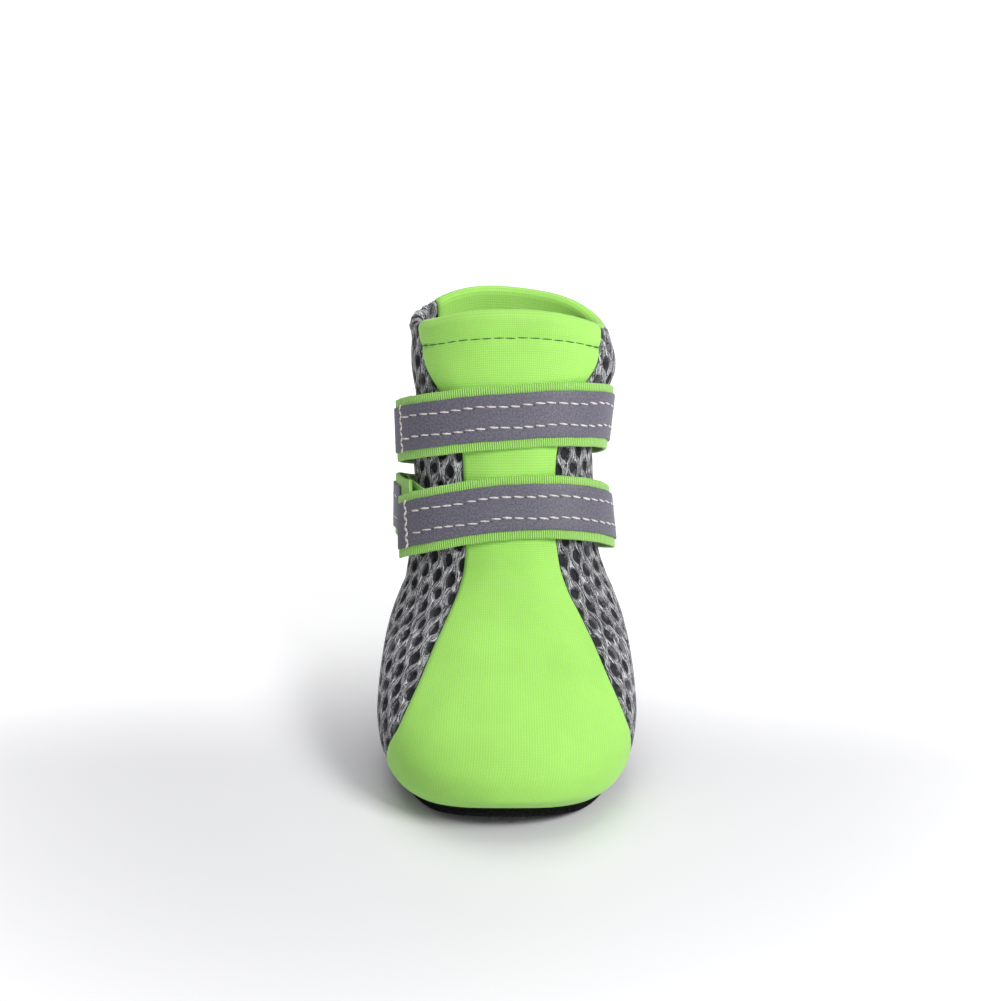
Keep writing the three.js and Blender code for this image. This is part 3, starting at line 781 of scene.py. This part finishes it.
class Strap:
    """A strap's path round the shaft: straight across its width, and clear of it over a hollow."""

    def __init__(self, name, level, lean, drop, end, spiral):
        self.name = name
        self.end = end
        self.spiral = spiral
        lean, drop = math.radians(lean), math.radians(drop)
        self.middle = surface(level, 0.0)
        upright = math.cos(drop)
        self.axis = np.array([-math.sin(drop), math.sin(lean) * upright, math.cos(lean) * upright])

    def run(self, turn, lift=0.0):
        """The webbing's stand-off, with a lift on it, and its rise at turns."""
        station = np.interp(turn, RUN_TURN, np.arange(len(RUN_TURN)))
        return between_rows(RUN_OFF[self.name], station) + lift, self.spiral * between_rows(RUN_RISE, station)

    def pile(self, turn, lift=0.0):
        """The same for the pile's strip."""
        station = np.interp(turn, PILE_TURN, np.arange(len(PILE_TURN)))
        return between_rows(PILE_OFF, station) + lift, self.spiral * between_rows(PILE_RISE, station)

    def tape(self, turn, lift=0.0):
        """The same for the tape, which lies on the webbing."""
        return self.run(turn, lift + WEBBING + TAPE_GAP)

    def tape_turns(self):
        """The turns at which the tape starts and ends."""
        return self.end - 360 + TAPE_START_TURN, self.end - TAPE_END_TURN

    def girdle(self, turn, across):
        """Where the strap's plane, moved up its axis, cuts the shaft at turns, and the way out there."""
        angle = -np.radians(turn)
        low = np.full_like(angle, LOWEST_STRAP_LEVEL)
        high = np.full_like(angle, TOP)
        for _ in range(HALVINGS):
            middle = (low + high) / 2
            above = (surface(middle, angle) - self.middle) @ self.axis > across
            high = np.where(above, middle, high)
            low = np.where(above, low, middle)
        out = outward(low, angle)
        out = unit(out - (out @ self.axis)[:, None] * self.axis)
        return surface(low, angle), out

    def place(self, path, turn, across, lift):
        """Points at turns along a path round the shaft, across its width and lifted off it."""
        stations, index = np.unique(turn, return_inverse=True)
        off, rise = path(stations)
        point, out = self.girdle(stations, rise)
        rests = []
        for edge in (-STRAP_WIDTH / 2, STRAP_WIDTH / 2):
            swell = ((self.girdle(stations, rise + edge)[0] - point) * out).sum(-1)
            rests.append(np.where(swell > 0, swell, swell * STRAP_SAG))
        share = across / STRAP_WIDTH + 0.5
        stand = off[index] + rests[0][index] * (1 - share) + rests[1][index] * share
        return point[index] + out[index] * (stand + lift)[:, None] + across[:, None] * self.axis

    def lengths(self, path, start, end):
        """A fine row of turns and the length along the strap to each."""
        turns = np.linspace(start, end, LENGTH_SAMPLES)
        line = self.place(path, turns, np.zeros(LENGTH_SAMPLES), np.zeros(LENGTH_SAMPLES))
        return turns, np.concatenate([[0], np.cumsum(np.linalg.norm(np.diff(line, axis=0), axis=-1))])

    def band(self, path, start, end, width, thickness, edge):
        """A band of cloth sewn along a path."""
        turns, run = self.lengths(path, start, end)
        length = run[-1]

        def place(s, t, offset):
            turn = np.interp(t * length, run, turns)
            wander = sum(far * np.sin(t * length * rate + lead * s) for far, rate, lead in WANDERS)
            return self.place(path, turn, (s - 0.5) * width + wander, thickness / 2 + offset)

        def measure(s, t):
            return np.stack([t * length, (s - 0.5) * width, s * 0], -1)

        samples = edge_samples(BAND_COLUMNS, width, edge), edge_samples(int(length / BAND_STEP), length, edge)
        return cloth_sheet(*samples, width, length, thickness, edge, place, measure)


def make_webbing(strap):
    """The ribbed band that goes round the shaft."""
    bm = strap.band(strap.run, RUN_TURN[0], strap.end, STRAP_WIDTH, WEBBING, 0.5)
    name = strap.name + "_strap_webbing"
    finish_piece(bm, name + "_ribbed", webbing_material(), "webbing", name)


def make_tape(strap):
    """The reflective tape on the webbing."""
    bm = strap.band(strap.tape, *strap.tape_turns(), TAPE_WIDTH, TAPE_CLOTH, 0.25)
    name = strap.name + "_strap_tape"
    finish_piece(bm, name + "_bright", tape_material(), "tape", name)


def make_pile(strap):
    """The loop pile: a strip beside the shaft, loops on its outside and loops on the run that faces it."""
    name = strap.name + "_strap_pile"
    bm = strap.band(strap.pile, PILE_TURN[0], PILE_TURN[-1], PILE_WIDTH, PILE * 0.8, 0.4)
    finish_piece(bm, name + "_strip", webbing_material(), "pile", name)
    rng = np.random.default_rng(5 if strap.name == "lower" else 6)
    strip = (strap.pile, PILE_TURN[0] + 1, PILE_TURN[-1] - 1, PILE * 0.75, 1)
    facing = (strap.run, RUN_TURN[0] + 3, LOOPS_END_TURN, 0.05, -1)
    bases, ups, asides = [], [], []
    for path, start, end, lift, way in (strip, facing):
        turns, run = strap.lengths(path, start, end)
        count = int(run[-1] * PILE_WIDTH / LOOP_PITCH**2)
        turn = np.interp(rng.uniform(0, run[-1], count), run, turns)
        across = rng.uniform(-0.5, 0.5, count) * (PILE_WIDTH - 0.8)
        base = strap.place(path, turn, across, lift)
        up = unit(strap.place(path, turn, across, lift + way) - base)
        lie = unit(rng.normal(size=(count, 3)))
        bases.append(base)
        ups.append(unit(up + LOOP_LEAN * lie))
        asides.append(unit(np.cross(up, lie)))
    bm = make_loops(np.concatenate(bases), np.concatenate(ups), np.concatenate(asides), rng)
    finish_piece(bm, name + "_loops", pile_material(), "pile", name)


def make_loops(base, up, aside, rng):
    """Small arches of yarn joined into one mesh: a grid rolled into tubes and cut between them."""
    count = len(base)
    columns, rows = LOOP_SIDES, LOOP_STEPS + 1
    bm, column_of, row_of = flat_grid(columns, count * rows - 1)
    loop = row_of // rows
    bend = (row_of % rows) / LOOP_STEPS * math.pi
    spin = column_of / columns * 2 * math.pi
    reach = (LOOP_REACH * rng.uniform(0.7, 1.3, count))[loop]
    rise = (LOOP_RISE * rng.uniform(0.6, 1.2, count))[loop]
    foot, lift, span = base[loop], up[loop], aside[loop]
    across = np.cross(lift, span)
    middle = foot + span * (np.cos(bend) * reach)[:, None] + lift * (np.sin(bend) * rise)[:, None]
    radial = span * np.cos(bend)[:, None] + lift * np.sin(bend)[:, None]
    round_yarn = radial * np.cos(spin)[:, None] + across * np.sin(spin)[:, None]
    place_vertices(bm, middle + round_yarn * LOOP_YARN)
    between = [face for face in bm.faces if len({loop[vert.index] for vert in face.verts}) > 1]
    bmesh.ops.delete(bm, geom=between, context="FACES")
    bmesh.ops.remove_doubles(bm, verts=bm.verts, dist=MERGE)
    bmesh.ops.holes_fill(bm, edges=[edge for edge in bm.edges if edge.is_boundary], sides=LOOP_SIDES)
    bmesh.ops.recalc_face_normals(bm, faces=bm.faces)
    return bm


def stitch_matrix(start, end, out, width, height):
    """Turns a unit ball into a stitch that lies from start to end."""
    along = Vector((end - start) * MM) / 2
    up = Vector(out).normalized()
    side = along.cross(up).normalized() * width / 2 * MM
    up = side.cross(along).normalized() * height / 2 * MM
    place = Matrix.Translation(Vector((start + end) / 2 * MM))
    return place @ Matrix((along, side, up)).transposed().to_4x4()


def make_stitches(strap):
    """The two long rows of stitching on the tape, the zigzag across its free end, and painted shadows at the
    needle holes.
    """
    pitch = bpy.context.scene.boot_sizes.stitch_pitch / MM
    turns, run = strap.lengths(strap.tape, *strap.tape_turns())
    rng = np.random.default_rng(21 if strap.name == "lower" else 22)
    starts, ends, widths = [], [], []
    for across in STITCH_ROWS:
        for k in range(int((run[-1] - STITCH_STOP) / pitch)):
            first = STITCH_START + (k + rng.uniform(-0.06, 0.06)) * pitch
            wander = STITCH_WANDER * math.sin(first * STITCH_WANDER_RATE + across)
            middle = across + wander + rng.uniform(-0.06, 0.06)
            starts.append((first, middle - STITCH_SLANT))
            ends.append((first + pitch * rng.uniform(0.88, 1.0), middle + STITCH_SLANT))
            widths.append(rng.uniform(0.42, 0.6))
    zigzag = run[-1] - ZIGZAG_PLACE
    for k in range(ZIGZAG_RUNGS):
        low = (k / ZIGZAG_RUNGS - 0.5) * ZIGZAG_SPAN
        sway = ZIGZAG_REACH if k % 2 else -ZIGZAG_REACH
        starts.append((zigzag - sway + rng.uniform(-0.1, 0.1), low))
        ends.append((zigzag + sway + rng.uniform(-0.1, 0.1), low + ZIGZAG_SPAN / ZIGZAG_RUNGS * 1.05))
        widths.append(rng.uniform(0.65, 0.85))
    starts, ends = np.array(starts), np.array(ends)

    def over(spots, lift):
        turn = np.interp(spots[:, 0], run, turns)
        return strap.place(strap.tape, turn, spots[:, 1], TAPE_CLOTH + lift)

    first, last, above = over(starts, 0.0), over(ends, 0.0), over(starts, 1.0)
    bm, holes = bmesh.new(), bmesh.new()
    for place, start, end, up, width in zip(starts, first, last, above - first, widths):
        matrix = stitch_matrix(start, end, up, width, STITCH_HEIGHT)
        bmesh.ops.create_uvsphere(bm, u_segments=6, v_segments=5, radius=1, matrix=matrix)
        # Painted shadow: a dark flat blob at the needle hole before each stitch of the rows, gathered in
        # holes.
        if place[0] < zigzag - 1:
            before = start - NEEDLE_SHADOW_BEFORE * unit(end - start)
            after = start - 0.05 * (end - start)
            matrix = stitch_matrix(before, after, up, NEEDLE_SHADOW_WIDTH, NEEDLE_SHADOW_HEIGHT)
            bmesh.ops.create_uvsphere(holes, u_segments=6, v_segments=4, radius=1, matrix=matrix)
    finishes = bpy.context.scene.boot_finish
    for mesh, kind, rgb in ((bm, "stitches", finishes.thread), (holes, "needle_hole_shadows", finishes.dark_yarn_and_shade)):
        bmesh.ops.recalc_face_normals(mesh, faces=mesh.faces)
        name = strap.name + "_strap_" + kind
        finish_piece(mesh, name, thread_material(name, rgb), "tape")


def make_hem_stitches():
    """The dark stitches that hold the panel's hem, below the collar's fold."""
    level = FOLD_START - HEM_STITCH
    half = float(panel_half(np.array(level))) - 0.05
    count = int(2 * half * HEM_RADIUS / (bpy.context.scene.boot_sizes.stitch_pitch / MM))
    dark = bpy.context.scene.boot_finish.hem_thread
    bm = bmesh.new()
    rng = np.random.default_rng(8)
    for k in range(count):
        first = -half + 2 * half * k / count
        last = first + 2 * half / count * rng.uniform(0.98, 1.12)
        angle = np.array([first, last])
        ends = drape(level + rng.uniform(-0.012, 0.012, 2), angle, np.full(2, HEM_THREAD_LIFT))
        up = outward(np.array(level), np.array(first))
        matrix = stitch_matrix(ends[0], ends[1], up, rng.uniform(0.38, 0.55), 0.4)
        bmesh.ops.create_uvsphere(bm, u_segments=6, v_segments=4, radius=1, matrix=matrix)
    bmesh.ops.recalc_face_normals(bm, faces=bm.faces)
    finish_piece(bm, "hem_stitches", thread_material("hem_thread", dark), "panel")


class Value:
    """A shader socket that takes part in Python expressions: each operation adds its Math node."""

    def __init__(self, shade, socket):
        self.shade = shade
        self.socket = socket

    def math(self, operation, first, second):
        return self.shade.node("ShaderNodeMath", {"operation": operation}, first, second)

    def __add__(self, other):
        return self.math("ADD", self, other)

    def __radd__(self, other):
        return self.math("ADD", other, self)

    def __mul__(self, other):
        return self.math("MULTIPLY", self, other)

    def __rmul__(self, other):
        return self.math("MULTIPLY", other, self)

    def step(self, low, high):
        """0 below low, 1 above high and smooth between."""
        settings = {"interpolation_type": "SMOOTHSTEP"}
        return self.shade.node("ShaderNodeMapRange", settings, self, low, high)


class Shade:
    """One material and the nodes that feed its Principled shader."""

    def __init__(self, name, **constants):
        self.material = bpy.data.materials.new(name)
        self.material.use_nodes = True
        self.tree = self.material.node_tree
        self.shader = self.tree.nodes["Principled BSDF"]
        for key, value in constants.items():
            self.shader.inputs[key.replace("_", " ")].default_value = value

    def node(self, kind, settings, *inputs, output=0, **named):
        """Adds a node, with its inputs in order or by name, and gives one of its outputs."""
        node = self.tree.nodes.new(kind)
        for key, value in settings.items():
            setattr(node, key, value)
        sockets = list(zip(node.inputs, inputs))
        sockets += [(node.inputs[key.replace("_", " ")], value) for key, value in named.items()]
        for socket, value in sockets:
            if isinstance(value, Value):
                self.tree.links.new(value.socket, socket)
            elif value is not None:
                socket.default_value = value
        return Value(self, node.outputs[output])

    def attribute(self, name):
        return self.node("ShaderNodeAttribute", {"attribute_name": name}, output="Vector")

    def place(self):
        return self.node("ShaderNodeTexCoord", {}, output="Object")

    def part(self, vector, axis):
        return self.node("ShaderNodeSeparateXYZ", {}, vector, output=axis)

    def stretched(self, vector, scale):
        return self.node("ShaderNodeMapping", {}, Vector=vector, Scale=scale)

    def noise(self, vector, scale, detail=3.0, roughness=0.55):
        inputs = {"Vector": vector, "Scale": scale, "Detail": detail, "Roughness": roughness}
        return self.node("ShaderNodeTexNoise", {}, **inputs)

    def bands(self, vector, direction, scale, distortion=0.0):
        settings = {"wave_type": "BANDS", "bands_direction": direction}
        return self.node("ShaderNodeTexWave", settings, Vector=vector, Scale=scale, Distortion=distortion)

    def mix(self, share, first, second):
        """Goes from one colour to another. The node's inputs for other kinds come before its colours."""
        inputs = (share, *(None,) * 5, first, second)
        return self.node("ShaderNodeMix", {"data_type": "RGBA"}, *inputs, output=2)

    def tones(self, share, rgb, low, high):
        """Goes from a darker to a lighter tone of one colour."""
        return self.mix(share, tint(rgb, low), tint(rgb, high))

    def bump(self, height, distance, strength=1.0, under=None):
        inputs = {"Strength": strength, "Distance": distance, "Height": height, "Normal": under}
        return self.node("ShaderNodeBump", {}, **inputs)

    def finish(self, **sockets):
        """Links the values to the shader and gives the material."""
        for key, value in sockets.items():
            self.tree.links.new(value.socket, self.shader.inputs[key.replace("_", " ")])
        return self.material


def tint(rgb, gain=1.0):
    """A colour made lighter or darker, with its alpha."""
    return tuple(min(channel * gain, 1.0) for channel in rgb) + (1.0,)


def cloth_colour(name, description, default):
    return FloatVectorProperty(name=name, description=description, subtype="COLOR", default=default)


def small_size(name, description, millimetres):
    return FloatProperty(name=name, description=description, subtype="DISTANCE", default=millimetres * MM)


class BootFinish(bpy.types.PropertyGroup):
    """Colours of the boot's cloths and threads."""

    panel: cloth_colour("Panel", "Colour of the stretch front panel", (0.40, 0.83, 0.14))
    webbing: cloth_colour("Webbing", "Colour of the ribbed webbing", (0.34, 0.70, 0.13))
    tape: cloth_colour("Tape", "Colour of the reflective tape", (0.165, 0.158, 0.205))
    pile: cloth_colour("Pile", "Colour of the loop pile", (0.14, 0.45, 0.03))
    light_yarn: cloth_colour("Light yarn", "Lightest yarn of the mesh", (0.78, 0.77, 0.81))
    # Also painted shade: the mesh's hole rims and the needle-hole shadows on the tape take this colour.
    dark_yarn_and_shade: cloth_colour("Dark yarn", "Darkest yarn of the mesh", (0.026, 0.026, 0.034))
    backing: cloth_colour("Backing", "Cloth behind the mesh", (0.02, 0.021, 0.028))
    thread: cloth_colour("Thread", "Stitching on the tape", (0.80, 0.73, 0.70))
    hem_thread: cloth_colour("Hem thread", "Stitching of the collar's hem", (0.05, 0.16, 0.02))
    sole: cloth_colour("Sole", "Sole cloth and dots", (0.004, 0.004, 0.0045))


class BootSizes(bpy.types.PropertyGroup):
    """Sizes of the small repeats."""

    hole_pitch: small_size("Hole pitch", "Distance between holes along a row", 4.9)
    hole_row: small_size("Hole row", "Distance between rows of holes", 4.3)
    hole_half_width: small_size("Hole half width", "Half a hole's width", 1.3)
    hole_half_height: small_size("Hole half height", "Half a hole's height", 1.7)
    stitch_pitch: small_size("Stitch pitch", "Length of a stitch with its gap", 3.0)


def panel_material():
    rgb = bpy.context.scene.boot_finish.panel
    shade = Shade("panel_stretch_knit", Sheen_Weight=0.3, Sheen_Roughness=0.4)
    cloth = shade.attribute("cloth")
    knit = shade.bands(cloth, "X", 0.6, 0.6) * shade.bands(cloth, "Y", 0.6, 0.6)
    cloudy = shade.noise(shade.place(), 60.0, detail=4.0)
    grain = shade.noise(cloth, 3.0, detail=2.0)
    colour = shade.tones((cloudy * 0.5 + grain * 0.5).step(0.3, 0.7), rgb, 0.92, 1.08)
    colour = shade.mix(knit * 0.4, colour, tint(rgb, 0.5))
    bump = shade.bump(knit, 0.0001, 0.5, shade.bump(cloudy, 0.0004, 0.3))
    return shade.finish(Base_Color=colour, Roughness=grain * 0.15 + 0.62, Normal=bump)


def net_material():
    colours = bpy.context.scene.boot_finish
    shade = Shade("mesh_yarn", Sheen_Weight=0.2)
    strand = shade.attribute("strand")
    fine = shade.noise(shade.stretched(strand, (2.9, 0.34, 0.5)), 1.0, roughness=0.65)
    lines = shade.bands(strand, "X", 0.6, 1.4)
    broad = shade.noise(shade.stretched(strand, (0.7, 0.3, 0.3)), 1.0, detail=2.0)
    fleck = shade.noise(shade.attribute("cloth"), 2.6, roughness=0.7)
    mixed = fine * 0.6 + fleck * 0.29 + lines * 0.11
    colour = shade.mix(mixed.step(0.482, 0.545), tint(colours.dark_yarn_and_shade), tint(colours.light_yarn))
    colour = shade.mix(broad.step(0.5, 0.66) * 0.6, colour, tint(colours.dark_yarn_and_shade, 1.6))
    # Painted shade: the yarn darkens towards each hole's rim, so the holes look deeper.
    rim = shade.part(strand, "Z").step(0.78, 1.0)
    colour = shade.mix(rim * 0.7, colour, tint(colours.dark_yarn_and_shade))
    bump = shade.bump(mixed, 0.0009)
    return shade.finish(Base_Color=colour, Roughness=mixed * 0.25 + 0.55, Normal=bump)


def backing_material():
    shade = Shade("mesh_backing", Sheen_Weight=0.1)
    cloth = shade.attribute("cloth")
    ribs = shade.bands(cloth, "X", 0.5, 0.8)
    mottled = shade.noise(cloth, 1.4)
    colour = shade.tones(ribs * mottled, bpy.context.scene.boot_finish.backing, 0.6, 2.8)
    bump = shade.bump(ribs, 0.0002, 0.8)
    return shade.finish(Base_Color=colour, Roughness=mottled * 0.1 + 0.8, Normal=bump)


def webbing_material():
    rgb = bpy.context.scene.boot_finish.webbing
    shade = Shade("grosgrain_webbing", Sheen_Weight=0.3, Sheen_Roughness=0.4)
    cloth = shade.attribute("cloth")
    ribs = shade.bands(cloth, "X", 0.56, 0.1)
    warp = shade.noise(shade.stretched(cloth, (0.6, 5.0, 1.0)), 1.2)
    # The rib bands set the tone: partly the weave's own ribs, partly a painted highlight on each rib and
    # painted shade between them.
    colour = shade.tones(ribs, rgb, 0.72, 1.35)
    colour = shade.mix(warp.step(0.3, 0.7) * 0.3, colour, tint(rgb, 0.7))
    bump = shade.bump(ribs + warp * 0.4, 0.0002, 0.9)
    return shade.finish(Base_Color=colour, Roughness=warp * 0.2 + 0.5, Normal=bump)


def tape_material():
    rgb = bpy.context.scene.boot_finish.tape
    shade = Shade("reflective_tape")
    cloth = shade.attribute("cloth")
    beads = shade.noise(cloth, 2.0, roughness=0.85)
    scuff = shade.noise(shade.stretched(cloth, (0.25, 1.6, 1.0)), 0.7, detail=5.0, roughness=0.75)
    colour = shade.tones(beads.step(0.38, 0.64), rgb, 0.54, 1.1)
    colour = shade.mix(scuff.step(0.62, 0.74) * 0.3, colour, tint(rgb, 1.9))
    bump = shade.bump(beads + scuff * 0.5, 0.00008, 0.7)
    return shade.finish(Base_Color=colour, Roughness=beads * 0.2 + 0.42, Normal=bump)


def pile_material():
    shade = Shade("loop_pile", Sheen_Weight=0.5, Sheen_Roughness=0.3)
    fluff = shade.noise(shade.place(), 2400.0, detail=2.0)
    colour = shade.tones(fluff.step(0.3, 0.7), bpy.context.scene.boot_finish.pile, 0.45, 1.7)
    bump = shade.bump(fluff, 0.0004, 0.9)
    return shade.finish(Base_Color=colour, Roughness=fluff * 0.1 + 0.8, Normal=bump)


def thread_material(name, rgb):
    shade = Shade(name, Sheen_Weight=0.2)
    twist = shade.noise(shade.place(), 3000.0, detail=1.0)
    colour = shade.tones(twist.step(0.3, 0.7), rgb, 0.7, 1.1)
    bump = shade.bump(twist, 0.0001, 0.8)
    return shade.finish(Base_Color=colour, Roughness=twist * 0.1 + 0.6, Normal=bump)


def sole_material():
    shade = Shade("sole_cloth", Specular_IOR_Level=0.1)
    nap = shade.noise(shade.place(), 900.0, detail=4.0)
    weave = shade.noise(shade.place(), 2200.0, detail=1.0)
    colour = shade.tones(nap.step(0.4, 0.75), bpy.context.scene.boot_finish.sole, 0.5, 2.4)
    bump = shade.bump(weave + nap, 0.0003, 0.8)
    return shade.finish(Base_Color=colour, Roughness=nap * 0.1 + 0.78, Normal=bump)


def dot_material():
    shade = Shade("sole_rubber", Coat_Weight=0.2, Coat_Roughness=0.35)
    scuff = shade.noise(shade.place(), 700.0)
    colour = shade.tones(scuff.step(0.5, 0.8), bpy.context.scene.boot_finish.sole, 1.0, 3.0)
    return shade.finish(Base_Color=colour, Roughness=scuff * 0.3 + 0.3)


def lining_material():
    shade = Shade("insole_lining", Sheen_Weight=0.2)
    weave = shade.noise(shade.place(), 1500.0)
    colour = shade.tones(weave.step(0.3, 0.7), bpy.context.scene.boot_finish.backing, 1.2, 3.0)
    bump = shade.bump(weave, 0.0002, 0.8)
    return shade.finish(Base_Color=colour, Roughness=weave * 0.1 + 0.8, Normal=bump)


def floor_material():
    """A light floor with painted light: it glows white away from the boot and behind it."""
    shade = Shade("studio_floor", Emission_Strength=1.0)
    place = shade.place()
    cloudy = shade.noise(place, 3.0)
    colour = shade.mix(cloudy, (0.84, 0.84, 0.86, 1), (0.86, 0.86, 0.88, 1))
    # Painted light: the glow rises with distance from the boot's middle and towards the back.
    distance = shade.node("ShaderNodeVectorMath", {"operation": "LENGTH"}, place, output="Value")
    share = distance.step(0.08, 0.26) + shade.part(place, "Y").step(-0.03, 0.05)
    painted_glow = shade.mix(share, (0.0, 0.0, 0.0, 1), (0.5, 0.5, 0.5, 1))
    return shade.finish(Base_Color=colour, Roughness=cloudy * 0.05 + 0.2, Emission_Color=painted_glow)


def aim(item, name, location, target):
    """Puts a lamp or the camera in the scene, pointed at its target."""
    thing = bpy.data.objects.new(name, item)
    thing.location = location
    thing.rotation_euler = (target - Vector(location)).to_track_quat("-Z", "Y").to_euler()
    bpy.context.scene.collection.objects.link(thing)
    return thing


def make_floor():
    bm = bmesh.new()
    bmesh.ops.create_grid(bm, x_segments=8, y_segments=8, size=FLOOR_REACH)
    bmesh.ops.subdivide_edges(bm, edges=bm.edges[:], cuts=1, use_grid_fill=True)
    mesh = bpy.data.meshes.new("studio_floor")
    bm.to_mesh(mesh)
    bm.free()
    mesh.materials.append(floor_material())
    floor = bpy.data.objects.new("studio_floor", mesh)
    bpy.context.scene.collection.objects.link(floor)


def make_camera():
    camera = bpy.data.cameras.new("studio_camera")
    camera.lens = CAMERA_LENS
    camera.sensor_width = CAMERA_SENSOR
    target = Vector(CAMERA_TARGET) * MM
    rise = math.radians(CAMERA_ELEVATION)
    location = target + Vector((0, -math.cos(rise), math.sin(rise))) * CAMERA_DISTANCE
    bpy.context.scene.camera = aim(camera, "studio_camera", location, target)


def make_light():
    """The two soft lights and the white world round them."""
    for name, size, energy, location, target in LIGHTS:
        light = bpy.data.lights.new(name, "AREA")
        light.size = size
        light.energy = energy
        aim(light, name, location, Vector(target))
    world = bpy.data.worlds.new("studio_world")
    world.use_nodes = True
    background = world.node_tree.nodes["Background"]
    background.inputs["Color"].default_value = (1, 1, 1, 1)
    background.inputs["Strength"].default_value = WORLD_STRENGTH
    bpy.context.scene.world = world


class BOOT_OT_upper(bpy.types.Operator):
    """Makes the boot's wall and its two mesh sides"""

    bl_idname = "boot.upper"
    bl_label = "Upper and Mesh"

    def execute(self, context):
        pattern = Pattern()
        make_backing()
        make_net(pattern, 1)
        make_net(pattern, -1)
        return {"FINISHED"}


class BOOT_OT_panel(bpy.types.Operator):
    """Makes the front panel, the collar's facing and the hem's stitches"""

    bl_idname = "boot.panel"
    bl_label = "Front Panel"

    def execute(self, context):
        make_front_panel()
        make_collar_facing()
        make_hem_stitches()
        return {"FINISHED"}


class BOOT_OT_sole(bpy.types.Operator):
    """Makes the sole cloth and its dots, and lines the insole"""

    bl_idname = "boot.sole"
    bl_label = "Sole"

    def execute(self, context):
        make_sole()
        make_dots()
        bpy.data.objects[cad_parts["insole"].name].material_slots[0].material = lining_material()
        return {"FINISHED"}


class BOOT_OT_straps(bpy.types.Operator):
    """Makes the two straps with their tape, pile and stitches"""

    bl_idname = "boot.straps"
    bl_label = "Straps"

    def execute(self, context):
        for row in STRAPS:
            strap = Strap(*row)
            make_webbing(strap)
            make_tape(strap)
            make_pile(strap)
            make_stitches(strap)
        return {"FINISHED"}


class BOOT_OT_stage(bpy.types.Operator):
    """Makes the floor, the lights and the camera"""

    bl_idname = "boot.stage"
    bl_label = "Stage"

    def execute(self, context):
        make_floor()
        make_camera()
        make_light()
        context.scene.view_settings.view_transform = "Standard"
        return {"FINISHED"}


class BOOT_PT_pieces(bpy.types.Panel):
    """Lists the boot's pieces"""

    bl_idname = "BOOT_PT_pieces"
    bl_label = "Dog Boot"
    bl_space_type = "VIEW_3D"
    bl_region_type = "UI"
    bl_category = "Dog Boot"

    def draw(self, context):
        for piece in PIECES:
            self.layout.operator(piece.bl_idname)


PIECES = (BOOT_OT_upper, BOOT_OT_panel, BOOT_OT_sole, BOOT_OT_straps, BOOT_OT_stage)
CLASSES = (BootFinish, BootSizes, *PIECES, BOOT_PT_pieces)


def register():
    for cls in CLASSES:
        bpy.utils.register_class(cls)
    bpy.types.Scene.boot_finish = PointerProperty(type=BootFinish)
    bpy.types.Scene.boot_sizes = PointerProperty(type=BootSizes)


def unregister():
    del bpy.types.Scene.boot_sizes
    del bpy.types.Scene.boot_finish
    for cls in reversed(CLASSES):
        bpy.utils.unregister_class(cls)


def main():
    register()
    bpy.ops.boot.upper()
    bpy.ops.boot.panel()
    bpy.ops.boot.sole()
    bpy.ops.boot.straps()
    bpy.ops.boot.stage()


if __name__ == "__main__":
    main()
